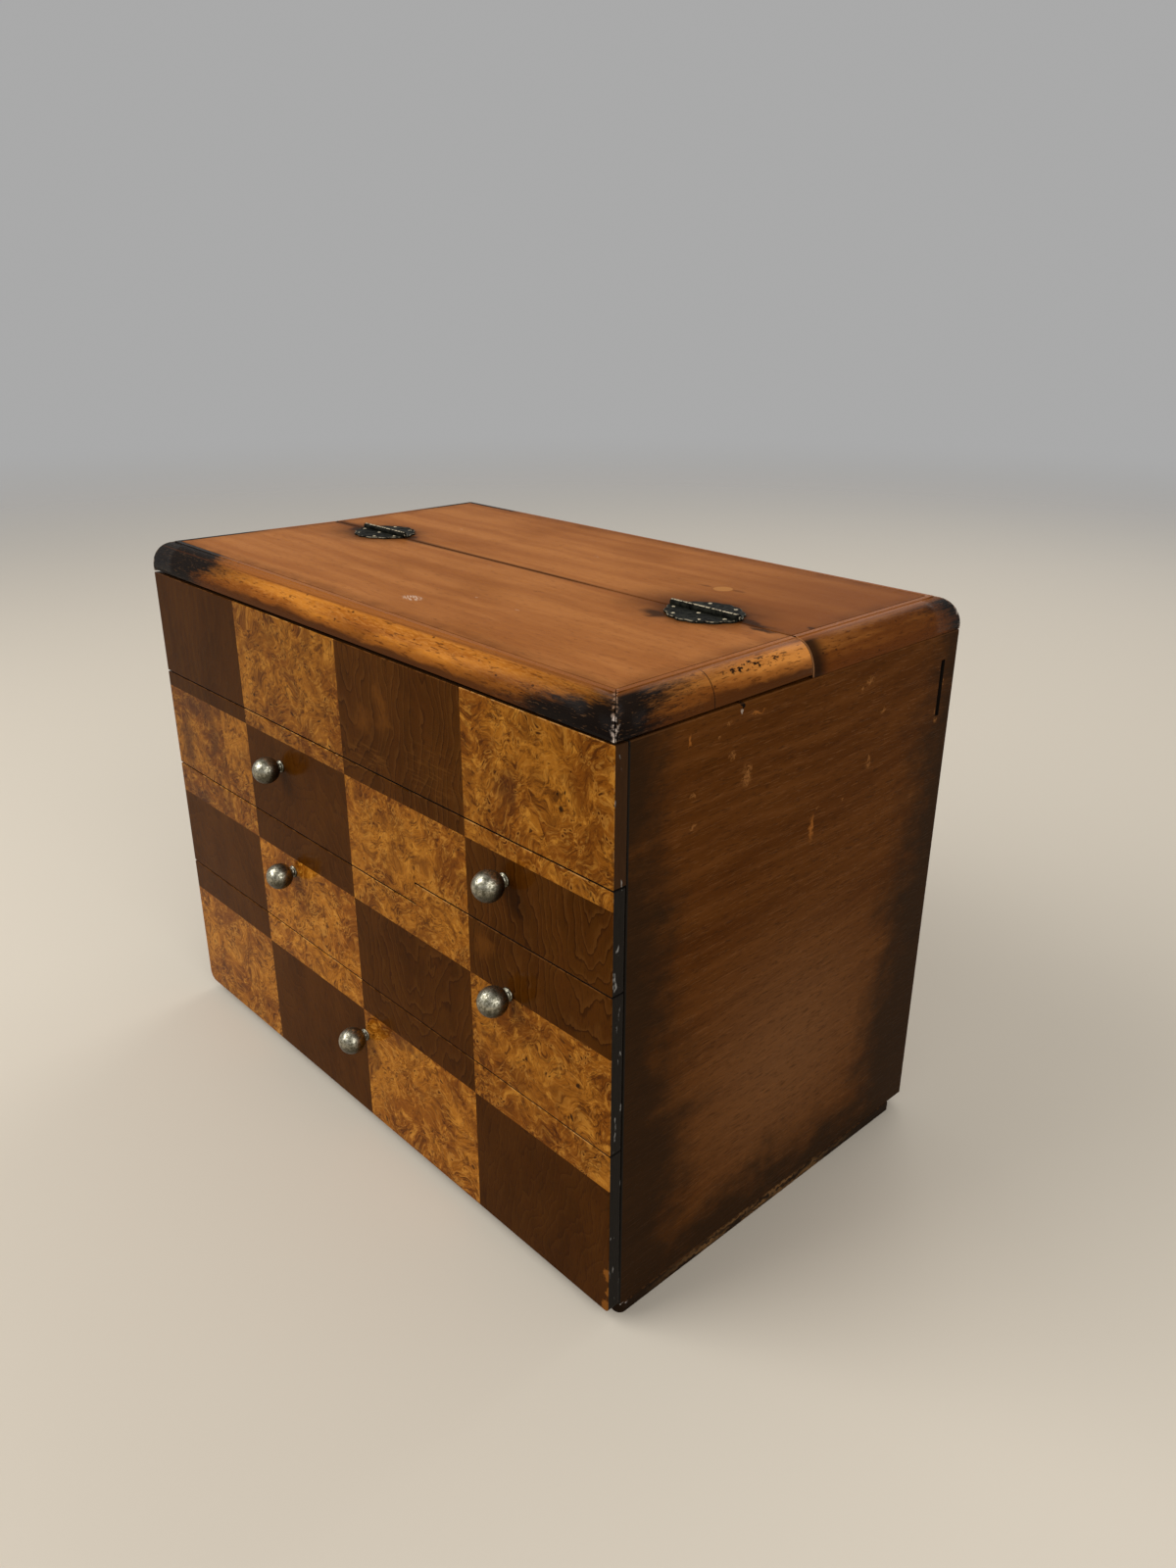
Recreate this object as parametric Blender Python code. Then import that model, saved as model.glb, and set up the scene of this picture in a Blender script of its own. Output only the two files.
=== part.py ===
"""Sewing box: a veneered chest with five drawers under a half lid on two butterfly hinges.

Metres, +Z up. The box faces -Y and its left hand, seen from the front, is -X. The origin
lies on the table, under the middle of the body. Every board, strip, leaf, pin and knob is
its own object, and each moving group hangs on an empty that sits on its joint.
"""
import math

import bmesh
import bpy
from mathutils import Vector

# Front layout: the widths and heights that the reveals between the fronts mark out
LEFT_STACK_W = 0.208
RIGHT_STACK_W = 0.112
BOTTOM_ROW_H = 0.0735
PAIR_H = 0.1061
MIDDLE_LEFT_H = 0.0566
MIDDLE_RIGHT_H = 0.0661
PANEL_H = 0.0498
FRONT_LIFT = 0.006
REVEAL = 0.0008

# Depths, from front to back
BODY_D = 0.196
LID_D = 0.098
BASE_SETBACK = 0.010
BACK_INSET = 0.001
DRAWER_REAR_ROOM = 0.006

# Board thicknesses
FRONT_T = 0.006
SIDE_T = 0.008
BACK_T = 0.005
BASE_T = 0.005
SHELF_T = 0.005
DIVIDER_T = 0.006
TOP_PANEL_T = 0.008
DRAWER_WALL_T = 0.004
DRAWER_FLOOR_T = 0.003

# Bullnose strip round the top: inset, round part, step under its flat fillet, upright land
STRIP_W = 0.0105
STRIP_H = 0.012
STRIP_ROUND_W = 0.0085
STRIP_STEP = 0.0003
STRIP_LAND = 0.001

# Narrow upright slot through the right side, near its rear upper corner
SLOT_W = 0.0026
SLOT_L = 0.024
SLOT_FROM_BACK = 0.0085
SLOT_BELOW_TOP = 0.011

# Knob: ball, neck, collar and the screw that it is held by
BALL_R = 0.006
NECK_R = 0.0019
NECK_L = 0.0004
COLLAR_R = 0.0028
COLLAR_T = 0.0009
SCREW_R = 0.0016
SCREW_TIP_INSET = 0.0005

# Where each knob stands, right of and above the middle of its drawer front
KNOB_OFFSETS = {
    "upper_left": (0.0038, 0.0048),
    "upper_right": (0.0006, 0.0034),
    "middle_left": (0.0055, 0.0059),
    "middle_right": (0.0010, 0.0088),
    "bottom": (0.0014, 0.0079),
}

# Butterfly hinge: scalloped leaves on the top surface, three knuckles and a pin
HINGE_FROM_LEFT = 0.054
HINGE_FROM_RIGHT = 0.052
HINGE_W = 0.034
LEAF_REACH = 0.015
LEAF_T = 0.0009
LEAF_FULLNESS = 1.8
SCALLOP_DEPTH = 0.0009
MIDDLE_KNUCKLE_W = 0.013
KNUCKLE_R = 0.0013
PIN_R = 0.0006
PIN_OVERHANG = 0.0005

# Clearances
JOINT = 0.0003
LID_GAP = 0.0016
SPLIT_GAP = 0.0006
RUN_GAP = 0.0003
DRAWER_SIDE_CLEAR = 0.0006
DRAWER_TOP_CLEAR = 0.002
PIN_CLEAR = 0.00015
SCREW_CLEAR = 0.0003
ARRIS = 0.0004

# Counts for round and scalloped outlines
ROUND_STEPS = 24
SMALL_ROUND_STEPS = 16
ARC_STEPS = 10
SCALLOPS = 7
STEPS_PER_SCALLOP = 6

# Places that follow from the sizes above
BODY_W = LEFT_STACK_W + RIGHT_STACK_W
LEFT = -BODY_W / 2
RIGHT = BODY_W / 2
FRONT = -BODY_D / 2
BACK = BODY_D / 2
SEAM_X = LEFT + LEFT_STACK_W
SPLIT_Y = FRONT + LID_D
FRONT_BACK_Y = FRONT + FRONT_T
CARCASS_Y = FRONT_BACK_Y + JOINT
BACK_FACE_Y = BACK - BACK_INSET - BACK_T
INNER_END_Y = BACK_FACE_Y - JOINT
DRAWER_END_Y = BACK_FACE_Y - DRAWER_REAR_ROOM
INNER_LEFT = LEFT + SIDE_T
INNER_RIGHT = RIGHT - SIDE_T
LOWER_LINE = FRONT_LIFT + BOTTOM_ROW_H
LEFT_LINE = LOWER_LINE + MIDDLE_LEFT_H
RIGHT_LINE = LOWER_LINE + MIDDLE_RIGHT_H
PANEL_LINE = LOWER_LINE + PAIR_H
CARCASS_TOP = PANEL_LINE + PANEL_H
TOP_Z = CARCASS_TOP + LID_GAP + STRIP_H
HINGE_AXIS_Z = TOP_Z + JOINT + KNUCKLE_R
HINGE_CENTRES = {"left": LEFT + HINGE_FROM_LEFT, "right": RIGHT - HINGE_FROM_RIGHT}


def clear_scene():
    for obj in list(bpy.data.objects):
        bpy.data.objects.remove(obj, do_unlink=True)


def make_material(name, colour, roughness, metallic=0.0):
    material = bpy.data.materials.new(name)
    material.use_nodes = True
    shader = material.node_tree.nodes["Principled BSDF"]
    shader.inputs["Base Color"].default_value = (*colour, 1.0)
    shader.inputs["Roughness"].default_value = roughness
    shader.inputs["Metallic"].default_value = metallic
    return material


def add_empty(name, place):
    empty = bpy.data.objects.new(name, None)
    empty.empty_display_size = 0.02
    empty.location = place
    bpy.context.scene.collection.objects.link(empty)
    return empty


def add_object(name, bm, place, material, parent=None, smooth=False):
    """Make an object of a bmesh that was drawn round its own origin, and stand it at place."""
    bmesh.ops.recalc_face_normals(bm, faces=bm.faces)
    if bm.calc_volume(signed=True) < 0:
        bmesh.ops.reverse_faces(bm, faces=bm.faces)
    mesh = bpy.data.meshes.new(name)
    bm.to_mesh(mesh)
    bm.free()
    mesh.materials.append(material)
    if smooth:
        mesh.shade_smooth()
        mesh.set_sharp_from_angle(angle=math.radians(40))
    obj = bpy.data.objects.new(name, mesh)
    bpy.context.scene.collection.objects.link(obj)
    obj.location = Vector(place)
    if parent is not None:
        obj.parent = parent
        obj.location = Vector(place) - parent.location
    return obj


def hide_as_tool(obj):
    obj.hide_render = True
    obj.display_type = "WIRE"
    return obj


def join_or_cut(obj, tool, operation):
    modifier = obj.modifiers.new(tool.name, "BOOLEAN")
    modifier.operation = operation
    modifier.object = hide_as_tool(tool)


def box(name, x, y, z, material, parent=None):
    """A board between a low and a high value on each axis."""
    bm = bmesh.new()
    bmesh.ops.create_cube(bm, size=1.0)
    bmesh.ops.scale(bm, vec=(x[1] - x[0], y[1] - y[0], z[1] - z[0]), verts=bm.verts)
    middle = (sum(x) / 2, sum(y) / 2, sum(z) / 2)
    return add_object(name, bm, middle, material, parent)


def eased_box(name, x, y, z, material, parent=None):
    """A board that shows, with its sharp edges taken off."""
    board = box(name, x, y, z, material, parent)
    bevel = board.modifiers.new("arris", "BEVEL")
    bevel.width = ARRIS
    bevel.segments = 1
    bevel.limit_method = "NONE"
    return board


def strip_profile(height):
    """The bullnose section as (inset from the outer face, height above its foot)."""
    points = [(0.0, 0.0)]
    rise = height - STRIP_STEP - STRIP_LAND
    for step in range(ARC_STEPS + 1):
        angle = math.pi / 2 * step / ARC_STEPS
        inset = STRIP_ROUND_W * (1 - math.cos(angle))
        points.append((inset, STRIP_LAND + rise * math.sin(angle)))
    points.append((STRIP_ROUND_W, height))
    points.append((STRIP_W, height))
    points.append((STRIP_W, 0.0))
    return points


def strip(name, along, outer, inward, foot, ends, mitres, material, parent=None):
    """A length of bullnose strip along X or Y, cut square or mitred at each end.

    outer is where its outer face stands, inward is 1 or -1, ends are its two end places.
    """
    profile = strip_profile(TOP_Z - foot)
    mitre_gap = JOINT / math.sqrt(2)
    bm = bmesh.new()
    rings = []
    for end, sign, mitred in zip(ends, (1, -1), mitres):
        ring = []
        for inset, height in profile:
            reach = end + sign * (inset + mitre_gap) if mitred else end
            across = outer + inward * inset
            place = (reach, across) if along == "X" else (across, reach)
            ring.append(bm.verts.new((*place, foot + height)))
        rings.append(bm.faces.new(ring))
    loops = [edge for face in rings for edge in face.edges]
    bmesh.ops.bridge_loops(bm, edges=loops)
    return add_object(name, bm, (0, 0, 0), material, parent)


def turned(name, profile, place, material, parent=None):
    """A turned piece: a profile of (radius, distance in front of place) about a -Y axis."""
    bm = bmesh.new()
    chain = [bm.verts.new((radius, -out, 0)) for radius, out in profile]
    edges = [bm.edges.new(pair) for pair in zip(chain, chain[1:])]
    bmesh.ops.spin(
        bm, geom=chain + edges, cent=(0, 0, 0), axis=(0, 1, 0),
        angle=math.tau, steps=ROUND_STEPS, use_merge=True,
    )
    bmesh.ops.remove_doubles(bm, verts=bm.verts, dist=1e-6)
    return add_object(name, bm, place, material, parent, smooth=True)


def knob_profile():
    foot = JOINT + COLLAR_T
    start = math.asin(NECK_R / BALL_R)
    centre = foot + NECK_L + BALL_R * math.cos(start)
    tip = SCREW_TIP_INSET - FRONT_T
    points = [(0.0, tip), (SCREW_R, tip), (SCREW_R, JOINT), (COLLAR_R, JOINT)]
    points += [(COLLAR_R, foot), (NECK_R, foot)]
    for step in range(ARC_STEPS + 1):
        angle = start + (math.pi - start) * step / ARC_STEPS
        points.append((BALL_R * math.sin(angle), centre - BALL_R * math.cos(angle)))
    return points


def rod(name, radius, x, y, z, material, parent=None):
    """A round rod along X."""
    bm = bmesh.new()
    bmesh.ops.create_cone(
        bm, cap_ends=True, segments=SMALL_ROUND_STEPS, radius1=radius, radius2=radius, depth=x[1] - x[0]
    )
    for vert in bm.verts:
        vert.co = Vector((vert.co.z, vert.co.y, -vert.co.x))
    return add_object(name, bm, (sum(x) / 2, y, z), material, parent, smooth=True)


def knuckle(name, x, material, parent):
    """One knuckle: a tube along X round the hinge pin."""
    bore = PIN_R + PIN_CLEAR
    bm = bmesh.new()
    corners = ((x[0], bore), (x[1], bore), (x[1], KNUCKLE_R), (x[0], KNUCKLE_R))
    loop = [bm.verts.new((place, radius, 0)) for place, radius in corners]
    edges = [bm.edges.new(pair) for pair in zip(loop, loop[1:] + loop[:1])]
    bmesh.ops.spin(
        bm, geom=loop + edges, cent=(0, 0, 0), axis=(1, 0, 0),
        angle=math.tau, steps=SMALL_ROUND_STEPS, use_merge=True,
    )
    bmesh.ops.remove_doubles(bm, verts=bm.verts, dist=1e-7)
    return add_object(name, bm, (0, SPLIT_Y, HINGE_AXIS_Z), material, parent, smooth=True)


def leaf_outline(centre_x, side, tabs):
    """A hinge leaf from above: tabs towards the pin, and a scalloped edge on the other side.

    side is -1 for the leaf on the lid and 1 for the leaf behind the split.
    """
    clear = KNUCKLE_R + JOINT
    tab_reach = PIN_R + PIN_CLEAR + JOINT / 2
    half = HINGE_W / 2
    points = [(-half, clear)]
    for low, high in tabs:
        points += [(low, clear), (low, tab_reach), (high, tab_reach), (high, clear)]
    points.append((half, clear))
    count = SCALLOPS * STEPS_PER_SCALLOP
    for step in range(1, count):
        angle = math.pi * step / count
        lobe = SCALLOP_DEPTH * (abs(math.sin(SCALLOPS * angle)) - 1)
        power = 2 / LEAF_FULLNESS
        across = abs(math.cos(angle)) ** power * math.copysign(1, math.cos(angle))
        reach = math.sin(angle) ** power
        points.append(((half + lobe) * across, clear + (LEAF_REACH - clear + lobe) * reach))
    cleaned = []
    for point in points:
        if not cleaned or math.dist(cleaned[-1], point) > JOINT / 10:
            cleaned.append(point)
    return [(centre_x + x, SPLIT_Y + side * y) for x, y in cleaned]


def leaf(name, centre_x, side, tabs, material, parent=None):
    """A flat leaf on the top surface, with its knuckles joined on over the tabs."""
    foot = TOP_Z + JOINT
    bm = bmesh.new()
    outline = leaf_outline(centre_x, side, tabs)
    face = bm.faces.new([bm.verts.new((x, y, foot)) for x, y in outline])
    grown = bmesh.ops.extrude_face_region(bm, geom=[face])
    raised = [item for item in grown["geom"] if isinstance(item, bmesh.types.BMVert)]
    bmesh.ops.translate(bm, vec=(0, 0, LEAF_T), verts=raised)
    plate = add_object(name, bm, (0, 0, 0), material, parent)
    for number, (low, high) in enumerate(tabs, 1):
        span = (centre_x + low, centre_x + high)
        join_or_cut(plate, knuckle(f"{name}_knuckle_{number}", span, material, parent), "UNION")
    return plate


def build_carcass(woods):
    upright = (BASE_T + JOINT, CARCASS_TOP)
    inner_x = (INNER_LEFT + JOINT, INNER_RIGHT - JOINT)
    shelf_y = (CARCASS_Y, INNER_END_Y)
    box("base_board", (LEFT, RIGHT), (CARCASS_Y, BACK - BASE_SETBACK), (0, BASE_T), woods["side"])
    eased_box("left_side", (LEFT, INNER_LEFT), (CARCASS_Y, BACK), upright, woods["side"])
    right_side = eased_box("right_side", (INNER_RIGHT, RIGHT), (CARCASS_Y, BACK), upright, woods["side"])
    slot_y = BACK - SLOT_FROM_BACK
    slot_top = CARCASS_TOP - SLOT_BELOW_TOP
    slot = box(
        "slot_cutter", (INNER_RIGHT - SIDE_T, RIGHT + SIDE_T),
        (slot_y - SLOT_W / 2, slot_y + SLOT_W / 2), (slot_top - SLOT_L, slot_top), woods["side"],
    )
    join_or_cut(right_side, slot, "DIFFERENCE")
    box("back_panel", inner_x, (BACK_FACE_Y, BACK_FACE_Y + BACK_T), upright, woods["side"])

    def shelf_z(line):
        return (line - SHELF_T / 2, line + SHELF_T / 2)

    divider_x = (SEAM_X - DIVIDER_T / 2, SEAM_X + DIVIDER_T / 2)
    divider_z = (shelf_z(LOWER_LINE)[1] + JOINT, shelf_z(PANEL_LINE)[0] - JOINT)
    left_x = (inner_x[0], divider_x[0] - JOINT)
    right_x = (divider_x[1] + JOINT, inner_x[1])
    box("tray_floor", inner_x, shelf_y, shelf_z(PANEL_LINE), woods["inner"])
    box("lower_shelf", inner_x, shelf_y, shelf_z(LOWER_LINE), woods["inner"])
    box("drawer_divider", divider_x, shelf_y, divider_z, woods["inner"])
    box("left_shelf", left_x, shelf_y, shelf_z(LEFT_LINE), woods["inner"])
    box("right_shelf", right_x, shelf_y, shelf_z(RIGHT_LINE), woods["inner"])
    panel_z = (PANEL_LINE + REVEAL / 2, CARCASS_TOP)
    eased_box("front_panel", (LEFT, RIGHT), (FRONT, FRONT_BACK_Y), panel_z, woods["front"])


def build_top(woods, lid):
    """The fixed rear half of the top, and the lid in front of it."""
    field_x = (LEFT + STRIP_W + JOINT, RIGHT - STRIP_W - JOINT)
    field_z = (TOP_Z - TOP_PANEL_T, TOP_Z)
    lid_end = SPLIT_Y - SPLIT_GAP / 2
    rear_start = SPLIT_Y + SPLIT_GAP / 2
    box("lid_panel", field_x, (FRONT + STRIP_W + JOINT, lid_end), field_z, woods["top"], lid)
    box("rear_top_panel", field_x, (rear_start, BACK - STRIP_W - JOINT), field_z, woods["top"])

    lid_foot = CARCASS_TOP + LID_GAP
    rear_foot = CARCASS_TOP + JOINT
    rim = woods["strip"]
    strip("lid_strip_front", "X", FRONT, 1, lid_foot, (LEFT, RIGHT), (True, True), rim, lid)
    strip("rear_strip_back", "X", BACK, -1, rear_foot, (LEFT, RIGHT), (True, True), rim)
    for hand, outer, inward in (("left", LEFT, 1), ("right", RIGHT, -1)):
        lid_ends = (FRONT, lid_end)
        rear_ends = (rear_start, BACK)
        strip(f"lid_strip_{hand}", "Y", outer, inward, lid_foot, lid_ends, (True, False), rim, lid)
        strip(f"rear_strip_{hand}", "Y", outer, inward, rear_foot, rear_ends, (False, True), rim)


def build_hinges(metal, lid):
    half = HINGE_W / 2
    middle = MIDDLE_KNUCKLE_W / 2
    lid_tabs = [(-middle, middle)]
    rear_tabs = [(-half, -middle - JOINT), (middle + JOINT, half)]
    for hand, centre_x in HINGE_CENTRES.items():
        leaf(f"hinge_{hand}_lid_leaf", centre_x, -1, lid_tabs, metal, lid)
        leaf(f"hinge_{hand}_rear_leaf", centre_x, 1, rear_tabs, metal)
        span = (centre_x - half - PIN_OVERHANG, centre_x + half + PIN_OVERHANG)
        rod(f"hinge_{hand}_pin", PIN_R, span, SPLIT_Y, HINGE_AXIS_Z, metal)


def drawer_layout():
    """Each drawer's front edges, and the pocket that its box runs in."""
    half_shelf = SHELF_T / 2
    half_wall = DIVIDER_T / 2
    left = ((LEFT, SEAM_X - REVEAL / 2), (INNER_LEFT, SEAM_X - half_wall))
    right = ((SEAM_X + REVEAL / 2, RIGHT), (SEAM_X + half_wall, INNER_RIGHT))
    whole = ((LEFT, RIGHT), (INNER_LEFT, INNER_RIGHT))

    def between(low, high):
        front = (low + REVEAL / 2, high - REVEAL / 2)
        return front, (low + half_shelf, high - half_shelf)

    bottom = ((FRONT_LIFT, LOWER_LINE - REVEAL / 2), (BASE_T, LOWER_LINE - half_shelf))
    return {
        "upper_left": (left, between(LEFT_LINE, PANEL_LINE)),
        "upper_right": (right, between(RIGHT_LINE, PANEL_LINE)),
        "middle_left": (left, between(LOWER_LINE, LEFT_LINE)),
        "middle_right": (right, between(LOWER_LINE, RIGHT_LINE)),
        "bottom": (whole, bottom),
    }


def build_drawer(name, widths, heights, woods, metal):
    """A front that laps the carcass, a four-piece box behind it, and a ball knob."""
    front_x, pocket_x = widths
    front_z, pocket_z = heights
    slide = add_empty(f"{name}_slide", (sum(front_x) / 2, FRONT, sum(front_z) / 2))

    outer_x = (pocket_x[0] + DRAWER_SIDE_CLEAR, pocket_x[1] - DRAWER_SIDE_CLEAR)
    inner_x = (outer_x[0] + DRAWER_WALL_T, outer_x[1] - DRAWER_WALL_T)
    fitted_x = (inner_x[0] + JOINT, inner_x[1] - JOINT)
    run_y = (FRONT_BACK_Y + JOINT, DRAWER_END_Y)
    wall_z = (pocket_z[0] + RUN_GAP, pocket_z[1] - DRAWER_TOP_CLEAR)
    floor_z = (wall_z[0], wall_z[0] + DRAWER_FLOOR_T)
    back_y = (run_y[1] - DRAWER_WALL_T, run_y[1])
    inner = woods["inner"]
    box(f"{name}_drawer_left", (outer_x[0], inner_x[0]), run_y, wall_z, inner, slide)
    box(f"{name}_drawer_right", (inner_x[1], outer_x[1]), run_y, wall_z, inner, slide)
    box(f"{name}_drawer_floor", fitted_x, run_y, floor_z, inner, slide)
    box(f"{name}_drawer_back", fitted_x, back_y, (floor_z[1] + JOINT, wall_z[1]), inner, slide)

    right_of, above = KNOB_OFFSETS[name]
    place = (slide.location.x + right_of, FRONT, slide.location.z + above)
    front = eased_box(f"{name}_drawer_front", front_x, (FRONT, FRONT_BACK_Y), front_z, woods["front"], slide)
    hole_r = SCREW_R + SCREW_CLEAR
    hole_profile = [(0, -2 * FRONT_T), (hole_r, -2 * FRONT_T), (hole_r, FRONT_T), (0, FRONT_T)]
    hole = turned(f"{name}_screw_hole", hole_profile, place, metal, slide)
    join_or_cut(front, hole, "DIFFERENCE")
    turned(f"{name}_knob", knob_profile(), place, metal, slide)


def main():
    clear_scene()
    woods = {
        "front": make_material("chequered_veneer", (0.32, 0.14, 0.035), 0.25),
        "side": make_material("stained_side_wood", (0.09, 0.030, 0.010), 0.30),
        "top": make_material("stained_top_wood", (0.33, 0.12, 0.038), 0.35),
        "strip": make_material("rubbed_strip_wood", (0.24, 0.09, 0.020), 0.32),
        "inner": make_material("plain_inner_wood", (0.36, 0.23, 0.12), 0.60),
    }
    hinge_metal = make_material("darkened_brass", (0.035, 0.034, 0.028), 0.40, 1.0)
    knob_metal = make_material("aged_nickel", (0.33, 0.31, 0.25), 0.33, 1.0)

    build_carcass(woods)
    lid = add_empty("lid_axis", (0, SPLIT_Y, HINGE_AXIS_Z))
    build_top(woods, lid)
    build_hinges(hinge_metal, lid)
    for name, (widths, heights) in drawer_layout().items():
        build_drawer(name, widths, heights, woods, knob_metal)
    bpy.context.view_layer.update()


main()
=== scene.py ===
# %% [markdown]
# # A sewing box in chequered veneer
# The real box is a small chest with five drawers, a fixed panel above them and a lid on two butterfly
# hinges. Its solids already have every size, so this lesson only dresses them: each plain solid is
# replaced by a mesh with eased edges, and each finish is mixed from noise and distances, never a picture.

# %% Load the solids
import math

import bmesh
import bpy
from mathutils import Matrix, Vector


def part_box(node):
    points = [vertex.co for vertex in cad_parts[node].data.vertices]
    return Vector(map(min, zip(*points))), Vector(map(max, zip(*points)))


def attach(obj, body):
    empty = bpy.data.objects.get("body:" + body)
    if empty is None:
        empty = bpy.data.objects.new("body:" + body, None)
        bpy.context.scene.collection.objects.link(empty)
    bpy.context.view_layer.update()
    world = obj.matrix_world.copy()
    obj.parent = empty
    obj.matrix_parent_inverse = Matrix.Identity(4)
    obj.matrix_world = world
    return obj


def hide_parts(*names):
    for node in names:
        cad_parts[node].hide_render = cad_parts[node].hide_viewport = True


MM = 0.001
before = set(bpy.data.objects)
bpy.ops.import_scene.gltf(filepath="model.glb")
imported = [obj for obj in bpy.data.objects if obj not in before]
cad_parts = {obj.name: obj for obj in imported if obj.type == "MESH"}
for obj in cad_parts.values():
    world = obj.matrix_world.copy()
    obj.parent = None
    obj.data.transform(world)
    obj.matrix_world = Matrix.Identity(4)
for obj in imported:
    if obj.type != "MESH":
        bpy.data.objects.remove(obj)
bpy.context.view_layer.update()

# %% [markdown]
# ## Camera
# A camera can be placed by eye, but this one was fitted to the box's own edges, so that the lesson's
# picture can be laid over the photograph. The lens is wide because the photograph was taken close up.

# %% Place the camera
CAMERA_PLACE = (0.3956, -0.32975, 0.36277)
CAMERA_TURN = (67.0745, -0.1621, 46.9352)
LENS = 26.93
NEAREST = 0.01


def put(name, data):
    """Add an object made of this data to the scene."""
    made = bpy.data.objects.new(name, data)
    bpy.context.collection.objects.link(made)
    return made


camera_data = bpy.data.cameras.new("camera")
camera_data.lens = LENS
camera_data.clip_start = NEAREST
camera = put("camera", camera_data)
camera.location = CAMERA_PLACE
camera.rotation_euler = [math.radians(turn) for turn in CAMERA_TURN]
bpy.context.scene.camera = camera
bpy.context.scene.view_settings.view_transform = "Standard"
print("camera lens", camera_data.lens, "mm")

# %% [markdown]
# ## Light and floor
# A studio lights a polished box with large soft lamps, because a small lamp would leave hard spots in
# the varnish. A pale world fills the shadows. The floor is a wide disc that fades away with distance,
# so no edge of it shows from any side and no backdrop blocks the view of the back.

# %% Light the studio
LAMPS = {
    "key_lamp": ((-0.75, -1.2, 1.25), 1.3, 26.0),
    "fill_lamp": ((1.45, -0.45, 0.9), 1.2, 13.0),
    "back_lamp": ((-0.3, 1.3, 1.3), 1.2, 9.0),
}
BOX_MIDDLE = Vector((0.0, 0.0, 0.12))
ROOM_GREY = (0.4, 0.4, 0.4, 1.0)

for lamp_name, (place, width, watts) in LAMPS.items():
    lamp_data = bpy.data.lights.new(lamp_name, "AREA")
    lamp_data.size = width
    lamp_data.energy = watts
    lamp = put(lamp_name, lamp_data)
    lamp.location = place
    lamp.rotation_euler = (BOX_MIDDLE - Vector(place)).to_track_quat("-Z", "Y").to_euler()

world = bpy.data.worlds.new("pale_room")
bpy.context.scene.world = world
world.use_nodes = True
world.node_tree.nodes["Background"].inputs["Color"].default_value = ROOM_GREY
print(len(LAMPS), "lamps and a pale world")

# %% [markdown]
# ## Finishes from nodes
# Every finish here is one Principled shader fed by a few kinds of node. Two small classes keep their wiring
# short: one links nodes and does sums, the other draws wood and wear. They work in millimetres of the
# piece's own Object coordinates, so sizes are easy to think of and a pattern stays put when a drawer slides.

# %% Wire nodes
class Wiring:
    """One material, with the links and sums that its nodes are made of."""

    def __init__(self, name, roughness, metallic=0.0, specular=0.5, reflection=(1.0, 1.0, 1.0)):
        self.material = bpy.data.materials.new(name)
        self.material.use_nodes = True
        self.tree = self.material.node_tree
        self.shader = self.tree.nodes["Principled BSDF"]
        shine = {"Specular IOR Level": specular, "Specular Tint": (*reflection, 1.0)}
        self.feed(self.shader, {"Roughness": roughness, "Metallic": metallic, **shine})
        metres = self.add("TexCoord").outputs["Object"]
        self.flat = self.stretch(metres, (1 / MM, 1 / MM, 1 / MM))
        self.place = self.flat

    def feed(self, node, sockets):
        for name, value in sockets.items():
            if isinstance(value, bpy.types.NodeSocket):
                self.tree.links.new(value, node.inputs[name])
            else:
                node.inputs[name].default_value = value

    def add(self, kind, sockets=(), **settings):
        node = self.tree.nodes.new("ShaderNode" + kind)
        for setting, value in settings.items():
            setattr(node, setting, value)
        self.feed(node, dict(sockets))
        return node

    def stretch(self, vector, scale, move=(0, 0, 0), turn=(0, 0, 0)):
        turn = [math.radians(angle) for angle in turn]
        sockets = {"Vector": vector, "Scale": scale, "Location": move, "Rotation": turn}
        return self.add("Mapping", sockets).outputs[0]

    def calc(self, operation, first, second=0.0):
        return self.add("Math", {0: first, 1: second}, operation=operation).outputs[0]

    def times(self, product, *others):
        for other in others:
            product = self.calc("MULTIPLY", product, other)
        return product

    def most(self, greatest, *others):
        for other in others:
            greatest = self.calc("MAXIMUM", greatest, other)
        return greatest

    def plus(self, first, second):
        return self.calc("ADD", first, second)

    def less(self, first, second):
        return self.calc("SUBTRACT", first, second)

    def vector(self, operation, first, second):
        return self.add("VectorMath", {0: first, 1: second}, operation=operation).outputs[0]

    def length(self, vector):
        return self.add("VectorMath", {0: vector}, operation="LENGTH").outputs["Value"]

    def axis(self, letter):
        return self.add("SeparateXYZ", {0: self.place}).outputs[letter]

    def value_of(self, attribute):
        return self.add("Attribute", attribute_name=attribute).outputs["Fac"]

    def vector_of(self, attribute):
        return self.add("Attribute", attribute_name=attribute).outputs["Vector"]

    def spread(self, value, low, high, to_low=0.0, to_high=1.0):
        """Pass smoothly from one value to another while the input goes from low to high."""
        sockets = {"Value": value, "From Min": low, "From Max": high, "To Min": to_low, "To Max": to_high}
        return self.add("MapRange", sockets, interpolation_type="SMOOTHSTEP").outputs[0]


print("nodes are fed in millimetres")


# %% Draw wood and wear
LEAF_SHADE_AND_LIGHT = (0.3, 0.27, 0.22)


def per_mm(size):
    """How often a pattern of this size repeats in a millimetre."""
    sizes = size if isinstance(size, (tuple, list)) else (size, size, size)
    return [1 / millimetres for millimetres in sizes]


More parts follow.
